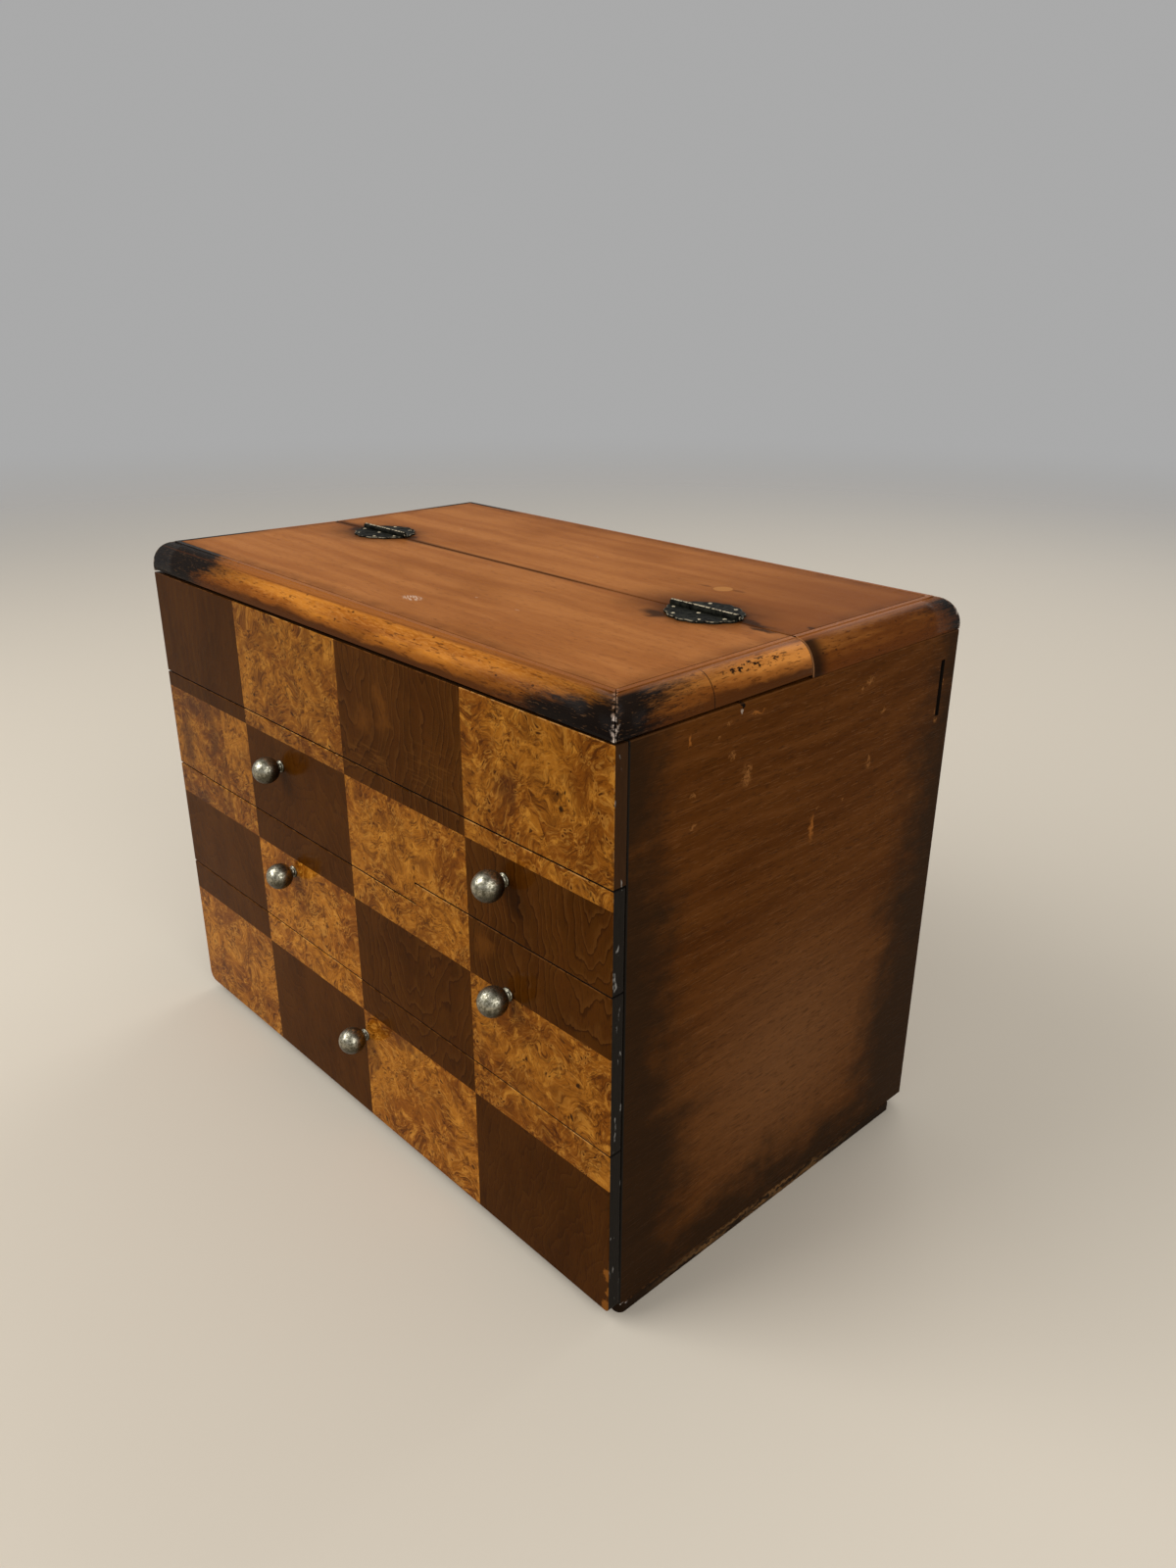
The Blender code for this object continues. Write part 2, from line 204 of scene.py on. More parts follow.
class Finish(Wiring):
    """A finish: masks drawn from noise and distances, and colours laid through them."""

    def grain(self, size, detail=3.0, turn=(0, 0, 0), move=(0, 0, 0), roughness=0.55):
        """Noise with blotches of this many millimetres."""
        where = self.place
        if any(turn):
            where = self.stretch(where, (1, 1, 1), turn=turn)
        where = self.stretch(where, per_mm(size), move)
        sockets = {"Vector": where, "Scale": 1.0, "Detail": detail, "Roughness": roughness}
        return self.add("TexNoise", sockets).outputs[0]

    def patches(self, size, low, high, to_low=0.0, to_high=1.0, **noise):
        """Grain as a mask, from nothing at low to all at high."""
        return self.spread(self.grain(size, **noise), low, high, to_low, to_high)

    def sway(self, reach, size, **noise):
        """Noise that swings to either side of nought."""
        return self.times(self.less(self.grain(size, **noise), 0.5), reach)

    def pips(self, size, move=(0, 0, 0)):
        """Distance to the nearest of many points, about this many millimetres apart."""
        where = self.stretch(self.place, per_mm(size), move)
        return self.add("TexVoronoi", {"Vector": where, "Scale": 1.0}).outputs["Distance"]

    def wander(self, size, reach):
        """Bend the coordinates, so that what is drawn next wanders."""
        where = self.stretch(self.place, per_mm(size))
        drift = self.add("TexNoise", {"Vector": where, "Scale": 1.0, "Detail": 2.0}).outputs["Color"]
        drift = self.vector("SUBTRACT", drift, (0.5, 0.5, 0.5))
        drift = self.vector("MULTIPLY", drift, (reach, reach, reach))
        self.place = self.vector("ADD", self.place, drift)

    def straighten(self):
        """Go back to the coordinates before any bending."""
        self.place = self.flat

    def line(self, value, at, half):
        return self.spread(self.calc("ABSOLUTE", self.less(value, at)), half, 0.0)

    def waves(self, value, rate):
        """Rise and fall between 0 and 1 while a value grows."""
        return self.times(self.calc("PINGPONG", self.times(value, rate), 0.5), 2.0)

    def along(self, letter, *limits):
        """A change along x, y or z between two limits."""
        return self.spread(self.axis(letter), *limits)

    def inside(self, letter, edge):
        """How far inside an edge a point lies, the same on both hands."""
        return self.less(edge, self.calc("ABSOLUTE", self.axis(letter)))

    def rings(self, heart, squeeze):
        """Distance from a point; squeezing it draws the rings out into ovals and arches."""
        away = self.vector("SUBTRACT", self.place, heart)
        return self.length(self.vector("MULTIPLY", away, squeeze))

    def mark(self, centre, reach, soft):
        """An oval spot: 1 in the middle and 0 outside its reach."""
        return self.spread(self.rings(centre, per_mm(reach)), 1.0, 1.0 - soft)

    def marks(self, spots, soft):
        return self.most(*[self.mark(centre, reach, soft) for centre, reach in spots])

    def tint(self, mask, under, over, blend="MIX"):
        under, over = [(*tone, 1.0) if isinstance(tone, tuple) else tone for tone in (under, over)]
        sockets = {0: mask, 6: under, 7: over}
        return self.add("Mix", sockets, data_type="RGBA", blend_type=blend).outputs[2]

    def coats(self, *layers):
        """Lay colours over the tone in turn, each through a share of its mask."""
        for mask, share, colour in layers:
            self.tone = self.tint(self.times(mask, share), self.tone, colour)

    def shade_leaf_and_light(self):
        """Darken a leaf of veneer by its shade, partly the leaf's own tone and partly painted light: upper
        squares are mostly set darker than lower ones.
        """
        self.tone = self.tint(self.value_of("tone"), self.tone, LEAF_SHADE_AND_LIGHT, "MULTIPLY")

    def seal(self, dullness, height, depth):
        """Connect the tone, the polish and a relief this many millimetres deep."""
        relief = self.add("Bump", {"Height": height, "Strength": 1.0, "Distance": depth * MM}).outputs[0]
        self.feed(self.shader, {"Base Color": self.tone, "Roughness": dullness, "Normal": relief})
        print(self.material.name, len(self.tree.nodes), "nodes")


print("finishes are drawn with", len([name for name in vars(Finish) if name[0] != "_"]), "tools")

# %% Lay the floor
FLOOR_RADIUS = 4.0
FLOOR_FADE = (600.0, 2800.0)
FLOOR_CREAM = (0.6, 0.535, 0.44, 1.0)

ground = Finish("pale_floor", roughness=0.75, specular=0.2)
ground.feed(ground.shader, {"Base Color": FLOOR_CREAM})
away = ground.spread(ground.length(ground.place), *FLOOR_FADE)
clear = ground.add("BsdfTransparent").outputs[0]
fade = ground.add("MixShader", {0: away, 1: ground.shader.outputs[0], 2: clear})
ground.feed(ground.tree.nodes["Material Output"], {"Surface": fade.outputs[0]})

bm = bmesh.new()
bmesh.ops.create_circle(bm, cap_ends=True, radius=FLOOR_RADIUS, segments=64)
floor_mesh = bpy.data.meshes.new("floor")
bm.to_mesh(floor_mesh)
bm.free()
floor_mesh.materials.append(ground.material)
floor = put("floor", floor_mesh)
print("floor radius", FLOOR_RADIUS, "m")

# %% [markdown]
# ## Boards with eased edges
# A cabinet maker runs sandpaper along every edge, so no edge is truly sharp and each catches a thin line
# of light. A board starts as a cube, and a bevel rounds its edges. The bevel's own faces are marked
# with an attribute, arris, so that a finish can show the wood worn paler there; some finishes also paint
# lit lines and lines of shade along it.

# %% Make boards
TOUCH = 1e-6
EASING = 0.5 * MM
SQUARE_ON = 0.9


def block(low, high, bm=None):
    """A box between two corners, in a mesh of its own or added to another."""
    bm = bmesh.new() if bm is None else bm
    size = Matrix.Diagonal((*(Vector(high) - Vector(low)), 1))
    middle = Matrix.Translation((Vector(high) + Vector(low)) / 2)
    bmesh.ops.create_cube(bm, size=1.0, matrix=middle @ size)
    return bm


def edges_where(bm, test):
    """The edges whose two ends both pass a test."""
    return [edge for edge in bm.edges if all(test(vert.co) for vert in edge.verts)]


def sharp_edges(bm, least=0.6):
    """The edges where two faces meet at more than this angle."""
    return [edge for edge in bm.edges if edge.calc_face_angle() > least]


def round_over(bm, edges, width, segments):
    """Bevel edges and give back the new faces."""
    made = bmesh.ops.bevel(
        bm, geom=list(edges), offset=width, affect="EDGES", segments=segments, profile=0.5, material=-1
    )
    return made["faces"]


def ease(bm, edges, width, segments=3):
    """Round edges and mark the new faces as arris."""
    arris = bm.faces.layers.float.get("arris") or bm.faces.layers.float.new("arris")
    for face in round_over(bm, edges, width, segments):
        face.smooth = True
        face[arris] = 1.0


def cut(bm, point, normal, faces=None):
    """Cut faces along a plane, and leave them joined."""
    faces = list(bm.faces) if faces is None else faces
    edges = {edge for face in faces for edge in face.edges}
    verts = {vert for face in faces for vert in face.verts}
    bmesh.ops.bisect_plane(bm, geom=[*faces, *edges, *verts], dist=TOUCH, plane_co=point, plane_no=normal)


def keep(bm, name, node, body, slot, *finishes):
    """Turn a bmesh into a piece that takes a solid's place and rides on its body."""
    mesh = bpy.data.meshes.new(name)
    bm.to_mesh(mesh)
    bm.free()
    for finish in finishes:
        mesh.materials.append(finish.material)
    piece = put(name, mesh)
    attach(piece, body)
    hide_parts(node)
    print(name, len(mesh.polygons), "faces")


print("board edges are eased by", EASING / MM, "mm")

# %% [markdown]
# ## Burl
# Burl veneer is sliced from a knotty growth: mottled amber, calm brown islands with paler rims, clusters of
# little eyes, dark knots and a few cracks. Each comes from a noise of its own size, and bending the
# coordinates first makes them all swirl together, as the fibres do round a knot. Old stains lie over it.

# %% Map the marks on the fronts
FRONT_FACE = -98
THROUGH = 60


def on_front(*spots):
    """Spots on the front face, each with its x and z and how far it reaches along them."""
    return [((x, FRONT_FACE, z), (wide, THROUGH, high)) for x, z, wide, high in spots]


BURL_STAINS = on_front(
    (-132, 174, 30, 9), (-147, 152, 10, 22), (-118, 160, 9, 12),
    (-140, 124, 16, 8), (108, 205, 8, 13), (30, 62, 26, 6),
)
BURL_KNOTS = on_front(
    (135.3, 206.3, 1.6, 1.9), (137.2, 213, 0.7, 0.8), (138.9, 210.6, 0.7, 0.9), (134.2, 211.4, 0.6, 0.8),
    (143.8, 101.5, 1.3, 1.3), (140.4, 85.6, 0.9, 2), (-70, 195, 1.1, 1.2), (-8, 188, 1, 0.9),
)
BURL_CRACKS = on_front(
    (-26.2, 101, 0.7, 6), (-24.4, 95, 0.7, 5), (56, 26.8, 9, 0.6), (-46.5, 75.5, 1.3, 3.4),
)
WALNUT_FLAMES = on_front((33, 216, 6, 15), (19, 206, 10, 8), (92, 136, 7, 9))
WALNUT_RIPPLES = on_front((64, 197, 24, 15), (22, 192, 22, 9))
WALNUT_STREAKS = on_front((-122, 208, 44, 34), (-122, 182, 44, 8))
WALNUT_CHIPS = on_front((159.6, 24.5, 2.2, 3.2), (159.8, 16.5, 1.4, 2.4), (160, 8.5, 3, 4.6))
print(len(BURL_STAINS + BURL_KNOTS + BURL_CRACKS), "marks on the burl")

# %% Draw the burl
VARNISH = (1.0, 0.6, 0.16)

burl = Finish("burl_veneer", roughness=0.13, specular=0.035, reflection=VARNISH)
burl.place = burl.vector("ADD", burl.place, burl.vector_of("figure"))
burl.wander(26, 24)
slow = burl.grain(13, detail=1)
glow = burl.grain(26, detail=1, move=(5, 2, 9))
islands = burl.spread(slow, 0.5, 0.64)
rims = burl.line(slow, 0.5, 0.018)
lively = burl.patches(12, 0.4, 0.58, 0.45, 1, detail=1, move=(1, 8, 3))
clusters = burl.patches(11, 0.54, 0.6, detail=1, move=(7, 3, 1))
burl.wander(10, 12)
mottle = burl.grain(5.6, detail=5, roughness=0.66)
strokes = burl.grain((5, 5, 1.25), detail=2, turn=(0, 28, 0), move=(4, 1, 6))
hatching = burl.grain((0.7, 0.7, 2.2), detail=2, turn=(0, -24, 0), move=(2, 5, 3))
veins = burl.line(burl.grain(9, detail=2, move=(3, 6, 2)), 0.5, 0.014)
eyes = burl.pips(3)
stray_pips = burl.spread(burl.pips(8.5, move=(0.4, 0.7, 0.2)), 0.11, 0.06)
burl.straighten()
burl.wander(3, 3)
knots = burl.marks(BURL_KNOTS, 0.5)
cracks = burl.marks(BURL_CRACKS, 0.8)
burl.straighten()
burl.wander(7, 18)
stains = burl.marks(BURL_STAINS, 0.8)
worn = burl.patches(7, 0.47, 0.6, 0.05, 1, detail=4)
print("burl drawn")

# %% Colour the burl
burl.tone = burl.tint(burl.spread(glow, 0.36, 0.64), (0.215, 0.063, 0.0035), (0.352, 0.125, 0.0098))
burl.coats(
    (burl.spread(mottle, 0.49, 0.36), 0.75, (0.108, 0.0285, 0.0016)),
    (burl.spread(mottle, 0.53, 0.68), 0.75, (0.55, 0.23, 0.027)),
    (islands, 0.45, (0.118, 0.032, 0.0022)),
    (burl.times(burl.spread(strokes, 0.54, 0.68), lively), 0.45, (0.54, 0.24, 0.034)),
    (burl.times(burl.spread(strokes, 0.47, 0.34), lively), 0.68, (0.045, 0.009, 0.0005)),
    (burl.times(burl.spread(hatching, 0.47, 0.36), lively), 0.45, (0.06, 0.013, 0.0008)),
    (burl.times(veins, lively), 0.5, (0.04, 0.009, 0.0006)),
    (rims, 0.35, (0.43, 0.17, 0.024)),
    (burl.times(burl.line(eyes, 0.36, 0.17), clusters), 0.5, (0.48, 0.21, 0.032)),
    (burl.times(burl.spread(eyes, 0.22, 0.1), clusters), 0.85, (0.022, 0.005, 0.001)),
    (stray_pips, 0.8, (0.022, 0.005, 0.001)),
    (cracks, 0.7, (0.03, 0.006, 0.001)),
    (knots, 0.9, (0.01, 0.003, 0.001)),
    (stains, 0.62, (0.055, 0.014, 0.0035)),
)
burl.shade_leaf_and_light()
# Pale worn and painted lit arrises where they face up, and painted shade where they face down.
burl.coats(
    (burl.times(worn, burl.value_of("arris")), 0.65, (0.62, 0.31, 0.09)),
    (burl.value_of("arris"), -0.85, (0.01, 0.003, 0.001)),
)
burl.seal(burl.spread(mottle, 0.3, 0.7, 0.17, 0.12), mottle, 0.02)

# %% [markdown]
# ## Straight walnut
# Between the burl squares lie leaves of dark walnut. A leaf shows arcs, where the knife passed the tree's
# rings at a slant, and fine upright pores. The arcs are rings about a point, the heart, which each leaf
# carries as an attribute; squeezing the distance upright draws the rings out into long arches.

# %% Draw the walnut
walnut = Finish("walnut_veneer", roughness=0.12, specular=0.018, reflection=VARNISH)
walnut.wander(44, 16)
ring = walnut.rings(walnut.vector_of("heart"), (1, 0, 0.4))
ring = walnut.plus(ring, walnut.times(walnut.grain((5, 5, 11), detail=2), 5))
ring = walnut.plus(ring, walnut.times(walnut.grain((16, 16, 34), detail=1), 16))
fine_rings = walnut.calc("FRACT", walnut.times(ring, 0.25))
broad_rings = walnut.waves(ring, 0.075)
patchy = walnut.patches((24, 24, 30), 0.3, 0.58, 0.35, 1, detail=1, move=(2, 4, 8))
strength = walnut.value_of("ring")
ring_lines = walnut.times(walnut.spread(fine_rings, 0.62, 0.96), strength, patchy)
ring_gaps = walnut.times(walnut.spread(fine_rings, 0.22, 0), strength)
ring_bands = walnut.times(walnut.spread(broad_rings, 0.45, 1), strength)
walnut.straighten()
walnut.wander(9, 1.6)
pores = walnut.patches((0.5, 0.5, 4.5), 0.52, 0.7, detail=2)
bands = walnut.patches((20, 20, 42), 0.34, 0.66, detail=2)
leather = walnut.patches((4, 4, 5.5), 0.36, 0.64, detail=4, roughness=0.66)
streaks = walnut.patches((3.4, 3.4, 34), 0.5, 0.72, detail=1, move=(6, 0, 2))
streaks = walnut.times(streaks, walnut.spread(walnut.marks(WALNUT_STREAKS, 0.4), 0, 1, 0.25, 1))
ripples = walnut.times(walnut.marks(WALNUT_RIPPLES, 0.8), walnut.patches((11, 11, 1.3), 0.5, 0.66, detail=2))
walnut.wander(3, 5)
chips = walnut.marks(WALNUT_CHIPS, 0.3)
walnut.wander(12, 14)
flames = walnut.marks(WALNUT_FLAMES, 0.9)
worn = walnut.patches(5, 0.42, 0.6, 0.1, 1)
print("walnut drawn")

# %% Colour the walnut
walnut.tone = walnut.tint(bands, (0.045, 0.0132, 0.0008), (0.065, 0.0203, 0.0018))
walnut.coats(
    (leather, 0.35, (0.066, 0.018, 0.0016)),
    (ring_bands, 0.35, (0.07, 0.0205, 0.0022)),
    (ring_gaps, 0.65, (0.016, 0.0036, 0.0003)),
    (ring_lines, 0.55, (0.098, 0.035, 0.0058)),
    (streaks, 0.45, (0.085, 0.03, 0.0026)),
    (flames, 0.7, (0.115, 0.037, 0.004)),
    (ripples, 0.7, (0.11, 0.039, 0.0055)),
    (pores, 0.4, (0.019, 0.0044, 0.0005)),
)
walnut.shade_leaf_and_light()
# Pale worn and painted lit arrises where they face up, and painted shade where they face down.
walnut.coats(
    (walnut.times(worn, walnut.value_of("arris")), 0.3, (0.3, 0.12, 0.035)),
    (walnut.value_of("arris"), -0.8, (0.006, 0.002, 0.001)),
    (chips, 0.75, (0.22, 0.075, 0.01)),
)
walnut.seal(walnut.spread(pores, 0, 1, 0.13, 0.22), walnut.less(1, pores), 0.015)

# %% [markdown]
# ## Polished ends and inner wood
# The ends of the drawer fronts are stained black and polished, and the fixed panel's end is brown; chips
# along them show pale wood. Inside, nobody polished anything: shelves and drawer walls are bare, paler
# wood with a straight grain. One recipe serves the grain along the box, from front to back, and the back.

# %% Mix the plain woods
CHIPPED_WOOD = (0.34, 0.32, 0.29)
BARE = ((0.27, 0.15, 0.068), (0.38, 0.225, 0.11), (0.17, 0.088, 0.038))
STAINED = ((0.105, 0.046, 0.016), (0.155, 0.072, 0.027), (0.055, 0.023, 0.008))


def stained_end(name, dark, light):
    """A stained and polished end; the attribute chipped says where knocks show the pale wood."""
    wood = Finish(name, roughness=0.16, specular=0.03)
    chips = wood.patches((2.4, 2.4, 9), 0.63, 0.68, detail=4)
    chips = wood.times(chips, wood.value_of("chipped"))
    end_grain = wood.grain((0.6, 0.6, 5))
    wood.tone = wood.tint(end_grain, dark, light)
    wood.coats((chips, 0.55, CHIPPED_WOOD))
    wood.seal(wood.spread(end_grain, 0.3, 0.7, 0.13, 0.22), chips, -0.05)
    return wood


def bare_wood(name, band_size, fibre_size, tones):
    """Unpolished wood, with its grain along the longest of these sizes."""
    dark, light, shadow = tones
    wood = Finish(name, roughness=0.62, specular=0.3)
    wood.wander(40, 5)
    fibres = wood.patches(fibre_size, 0.46, 0.7, detail=2)
    clouds = wood.patches(60, 0.5, 0.8)
    wood.tone = wood.tint(wood.patches(band_size, 0.28, 0.72), dark, light)
    wood.coats((fibres, 0.45, shadow), (clouds, 0.6, shadow))
    wood.seal(wood.spread(fibres, 0, 1, 0.55, 0.72), fibres, 0.06)
    return wood


black_end = stained_end("black_polished_end", (0.0065, 0.0055, 0.0045), (0.016, 0.0125, 0.0095))
brown_end = stained_end("brown_panel_end", (0.022, 0.009, 0.003), (0.042, 0.0175, 0.006))
inner_along = bare_wood("inner_wood_along", (70, 5, 5), (9, 0.5, 0.5), BARE)
inner_deep = bare_wood("inner_wood_deep", (5, 70, 5), (0.5, 9, 0.5), BARE)
back_wood = bare_wood("stained_back_wood", (90, 5, 6), (14, 0.6, 0.6), STAINED)

# %% [markdown]
# ## The chequered fronts
# Sixteen squares of veneer run over the fixed panel and the five drawer fronts as one sheet, so the drawer
# lines cut straight through them. Each front is a board whose faces are cut along the squares' lines
# with bisect_plane. Every face then gets the finish of its square, and attributes that pick the figure.
# Knocks have rounded the lowest corners, and a groove behind their ends sets the drawers off from the side.

# %% Lay out the veneer
COLUMN_LINES = [-81.5 * MM, 1.5 * MM, 82.5 * MM]
ROW_LINES = [178.2 * MM, 120.8 * MM, 64.0 * MM]

# The heart of the rings, how strongly they show and the shade of each walnut leaf, by row and column;
# the shade is partly the leaf's tone and partly painted light, mostly darker in the upper rows.
WALNUT_LEAVES = {
    (0, 0): ((-210, 0, 430), 0.3, 0.4),
    (0, 2): ((8, 0, 226), 0.85, 0.1),
    (1, 1): ((-30, 0, 20), 0.4, 0.12),
    (1, 3): ((152, 0, 188), 1, 0.15),
    (2, 0): ((-150, 0, -60), 0.35, 0.05),
    (2, 2): ((46, 0, 150), 0.7, 0.12),
    (3, 1): ((-90, 0, -80), 0.35, 0),
    (3, 3): ((230, 0, -170), 0.4, 0.3),
}

# Where each burl leaf is taken from the figure, and its shade, partly the leaf's tone and partly painted
# light, mostly darker in the upper rows.
BURL_LEAVES = {
    (0, 1): ((300, 0, 40), 0.42),
    (0, 3): ((520, 40, 160), 0.36),
    (1, 0): ((90, 80, 410), 0.34),
    (1, 2): ((640, 10, 330), 0.22),
    (2, 1): ((210, 60, 700), 0),
    (2, 3): ((770, 30, 90), 0.26),
    (3, 0): ((30, 90, 210), 0.06),
    (3, 2): ((450, 70, 520), 0),
}

# Two burl squares are made of two leaves: a point on the joint, across it, and the second leaf.
SPLIT_SQUARES = {
    (1, 0): (Vector((-0.106, 0, 0.15)), Vector((1, 0, 0.04)), (30, 55, 60), 0.44),
    (0, 3): (Vector((0.1157, 0, 0.2146)), Vector((0.88, 0, 0.47)), (85, 20, 140), 0.3),
}


def square_of(point):
    """Row from the top and column from the left of the square under a point."""
    column = sum(point.x > line for line in COLUMN_LINES)
    row = sum(point.z < line for line in ROW_LINES)
    return row, column


print(len(WALNUT_LEAVES), "walnut and", len(BURL_LEAVES), "burl squares")

# %% Shape the fronts
FRONT_EASING = 0.35 * MM
END_GROOVE = 0.9 * MM
GROOVE_LEAST = 5.0 * MM
WORN_LEFT = 5.0 * MM
WORN_RIGHT = 1.5 * MM
SEAM_X = 48.0 * MM
SEAM_CLOSING = 0.36 * MM
REVEAL_CLOSING = 0.08 * MM
END_WEAR_AND_LIGHT = 0.4
FRONT_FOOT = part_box("bottom_drawer_front")[0].z
FRONT_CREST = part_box("front_panel")[1].z


def upright(edge, least):
    return abs(edge.verts[0].co.z - edge.verts[1].co.z) > least


def front_block(node, grooved):
    """A front's board, a little over size, as the real fronts almost touch."""
    low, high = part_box(node)
    low.x -= SEAM_CLOSING if abs(low.x - SEAM_X) < MM else 0.0
    high.x += SEAM_CLOSING if abs(high.x - SEAM_X) < MM else 0.0
    low.z -= REVEAL_CLOSING if low.z > FRONT_FOOT + MM else 0.0
    high.z += REVEAL_CLOSING if high.z < FRONT_CREST - MM else 0.0
    bm = block(low, high)
    arris = bm.faces.layers.float.new("arris")
    if node == "bottom_drawer_front":
        for x, radius in ((low.x, WORN_LEFT), (high.x, WORN_RIGHT)):
            corner = edges_where(bm, lambda at: math.hypot(at.x - x, at.z - low.z) < TOUCH)
            round_over(bm, corner, radius, segments=6)
    if grooved:
        rear = edges_where(bm, lambda at: at.y > high.y - EASING)
        ease(bm, [edge for edge in rear if upright(edge, GROOVE_LEAST)], END_GROOVE)
    at_seam = edges_where(bm, lambda at: abs(at.x - SEAM_X) < MM)
    ease(bm, [edge for edge in sharp_edges(bm) if edge not in at_seam], FRONT_EASING)
    # Weigh each arris by its facing: upward ones are painted pale as lit lines, downward ones get a negative
    # weight that paints them dark as shade, and the ends take part wear and part light.
    for face in bm.faces:
        face[arris] *= face.normal.z + END_WEAR_AND_LIGHT * abs(face.normal.x)
    return bm


print("fronts from", round(FRONT_FOOT / MM, 1), "to", round(FRONT_CREST / MM, 1), "mm")


# %% Veneer the fronts
REARWARD = 0.75
FORWARD = -0.2
SIDEWARD = 0.75


def veneered(node, body):
    """A front board with the squares that cross it."""
    fixed = body == "carcass"
    bm = front_block(node, grooved=not fixed)
    for line in COLUMN_LINES:
        cut(bm, (line, 0, 0), (1, 0, 0))
    for line in ROW_LINES:
        cut(bm, (0, 0, line), (0, 0, 1))
    for square, (point, normal, _, _) in SPLIT_SQUARES.items():
        shared = [face for face in bm.faces if square_of(face.calc_center_median()) == square]
        cut(bm, point, normal, shared)
    layers = bm.faces.layers
    figure, heart = [layers.float_vector.new(name) for name in ("figure", "heart")]
    ring, tone, chipped = [layers.float.new(name) for name in ("ring", "tone", "chipped")]
    arris = layers.float["arris"]
    for face in bm.faces:
        middle = face.calc_center_median()
        square = square_of(middle)
        if face.normal.y > REARWARD:
            face.material_index = 3
        elif face.normal.y > FORWARD:
            face.material_index = 2
            face[arris] = 0.0
            face[chipped] = 1.0 if abs(face.normal.x) > SIDEWARD else 0.0
        elif square in WALNUT_LEAVES:
            face.material_index = 1
            face[heart], face[ring], face[tone] = WALNUT_LEAVES[square]
        else:
            face[figure], face[tone] = BURL_LEAVES[square]
            if square in SPLIT_SQUARES:
                point, normal, shift, shade = SPLIT_SQUARES[square]
                if (middle - point).dot(normal) < 0:
                    face[figure], face[tone] = shift, shade
    name = node.replace("drawer_front", "veneered_front").replace("front_panel", "veneered_top_panel")
    end = brown_end if fixed else black_end
    keep(bm, name, node, body, "front_veneer", burl, walnut, end, inner_along)


DRAWERS = ["upper_left", "upper_right", "middle_left", "middle_right", "bottom"]
veneered("front_panel", "carcass")
for drawer in DRAWERS:
    veneered(drawer + "_drawer_front", drawer + "_drawer")

# %% [markdown]
# ## The side boards
# The sides are one board each, stained red-brown and shaded almost to black along three edges, as
# old finishers did to make a box look older. The grain runs front to back in long arches, and years of use
# left pale chips. The right side has a narrow slot near its rear upper corner. Inside, both are bare wood.

# %% Map the marks on the right side
SIDE_FACE = 160
CHIP_SPREAD = 1.35


def on_side(*spots):
    """Spots on the right side, each with its y and z and how far it reaches along them."""
    return [((SIDE_FACE, y, z), (THROUGH, wide, high)) for y, z, wide, high in spots]


SIDE_CHIPS = on_side(*[(y, z, CHIP_SPREAD * wide, CHIP_SPREAD * high) for y, z, wide, high in (
    (36.6, 226.6, 2.6, 1.5), (32.2, 224.5, 1.2, 1), (47.9, 212.5, 1.6, 1.1), (40.7, 192.9, 1.5, 2.4),
    (-42, 217.2, 2.2, 1.3), (-45, 229.8, 1.4, 0.9), (-49.4, 225.5, 1, 0.8), (-33.6, 208.1, 2.6, 4.2),
    (-62, 208, 1.5, 1.2), (-61, 196.7, 1.2, 0.9), (25.5, 181, 1, 0.8), (9.4, 183, 0.9, 0.8),
    (87.6, 198.6, 1.3, 1.1), (86.2, 203, 0.5, 1), (90.2, 214, 0.5, 1.6), (85.8, 221.5, 0.5, 1.2),
)])
SIDE_STREAKS = on_side((6.8, 174.8, 1.9, 8), (-30, 230, 5, 0.8), (-63.7, 228, 0.8, 3.5))
# A small notch in the side's top arris is painted, not cut: near-black painted shade, with a painted glint
# just below it.
NOTCH_PAINTED_SHADE = on_side((-38, 234.4, 1.5, 1.5))
NOTCH_PAINTED_GLINT = on_side((-38.6, 232.6, 1, 0.6))
BASE_WEAR = on_side((-8, 3, 78, 9))
print(len(SIDE_CHIPS), "chips on the right side")

# %% Draw the side wood
ARCH_HEART = (160, -34, 262)

side = Finish("shaded_side_wood", roughness=0.3, specular=0.012)
side.wander(60, 26)
ragged = side.sway(52, (14, 20, 14), detail=5, roughness=0.68, move=(2, 7, 4))
lower = side.plus(side.along("Z", 210, 20, 0, 22), ragged)
front_shade = side.spread(side.less(side.axis("Y"), lower), -58, -94)
rear_shade = side.spread(side.plus(side.axis("Y"), lower), 64, 98)
foot_shade = side.spread(side.less(side.axis("Z"), ragged), 40, 6)
shade = side.most(front_shade, rear_shade, foot_shade)
side.straighten()
side.wander(70, 9)
arch = side.plus(side.rings(ARCH_HEART, (0, 0.26, 1)), side.times(side.grain((40, 60, 12)), 9))
arches = side.spread(side.waves(arch, 0.12), 0.5, 1)
bands = side.patches((12, 90, 9), 0.28, 0.72)
side.straighten()
side.wander(10, 1.2)
fibres = side.patches((0.6, 9, 0.55), 0.54, 0.7, roughness=0.65)
pores = side.patches((0.6, 6, 0.6), 0.53, 0.66, roughness=0.65, move=(2, 5, 1))
side.wander(2.4, 4.4)
chips = side.times(side.marks(SIDE_CHIPS, 0.7), side.patches((1, 1.6, 0.9), 0.38, 0.58))
# glow: painted light, a broad lighter zone over the lower middle of the side for the floor's reflected light.
glow = side.mark((160, 2, 72), (600, 96, 92), 1)
base_edge = side.along("Z", 5.2, 4.9)
base_wear = side.patches((5, 16, 2), 0.42, 0.6, detail=4)
base_wear = side.times(side.marks(BASE_WEAR, 0.7), base_edge, base_wear)
# A painted highlight on the base board's rounded front corner.
painted_corner_glint = side.mark((159.6, -89.2, 4.8), (1.2, 1.9, 0.6), 0.6)
print("side wood drawn")

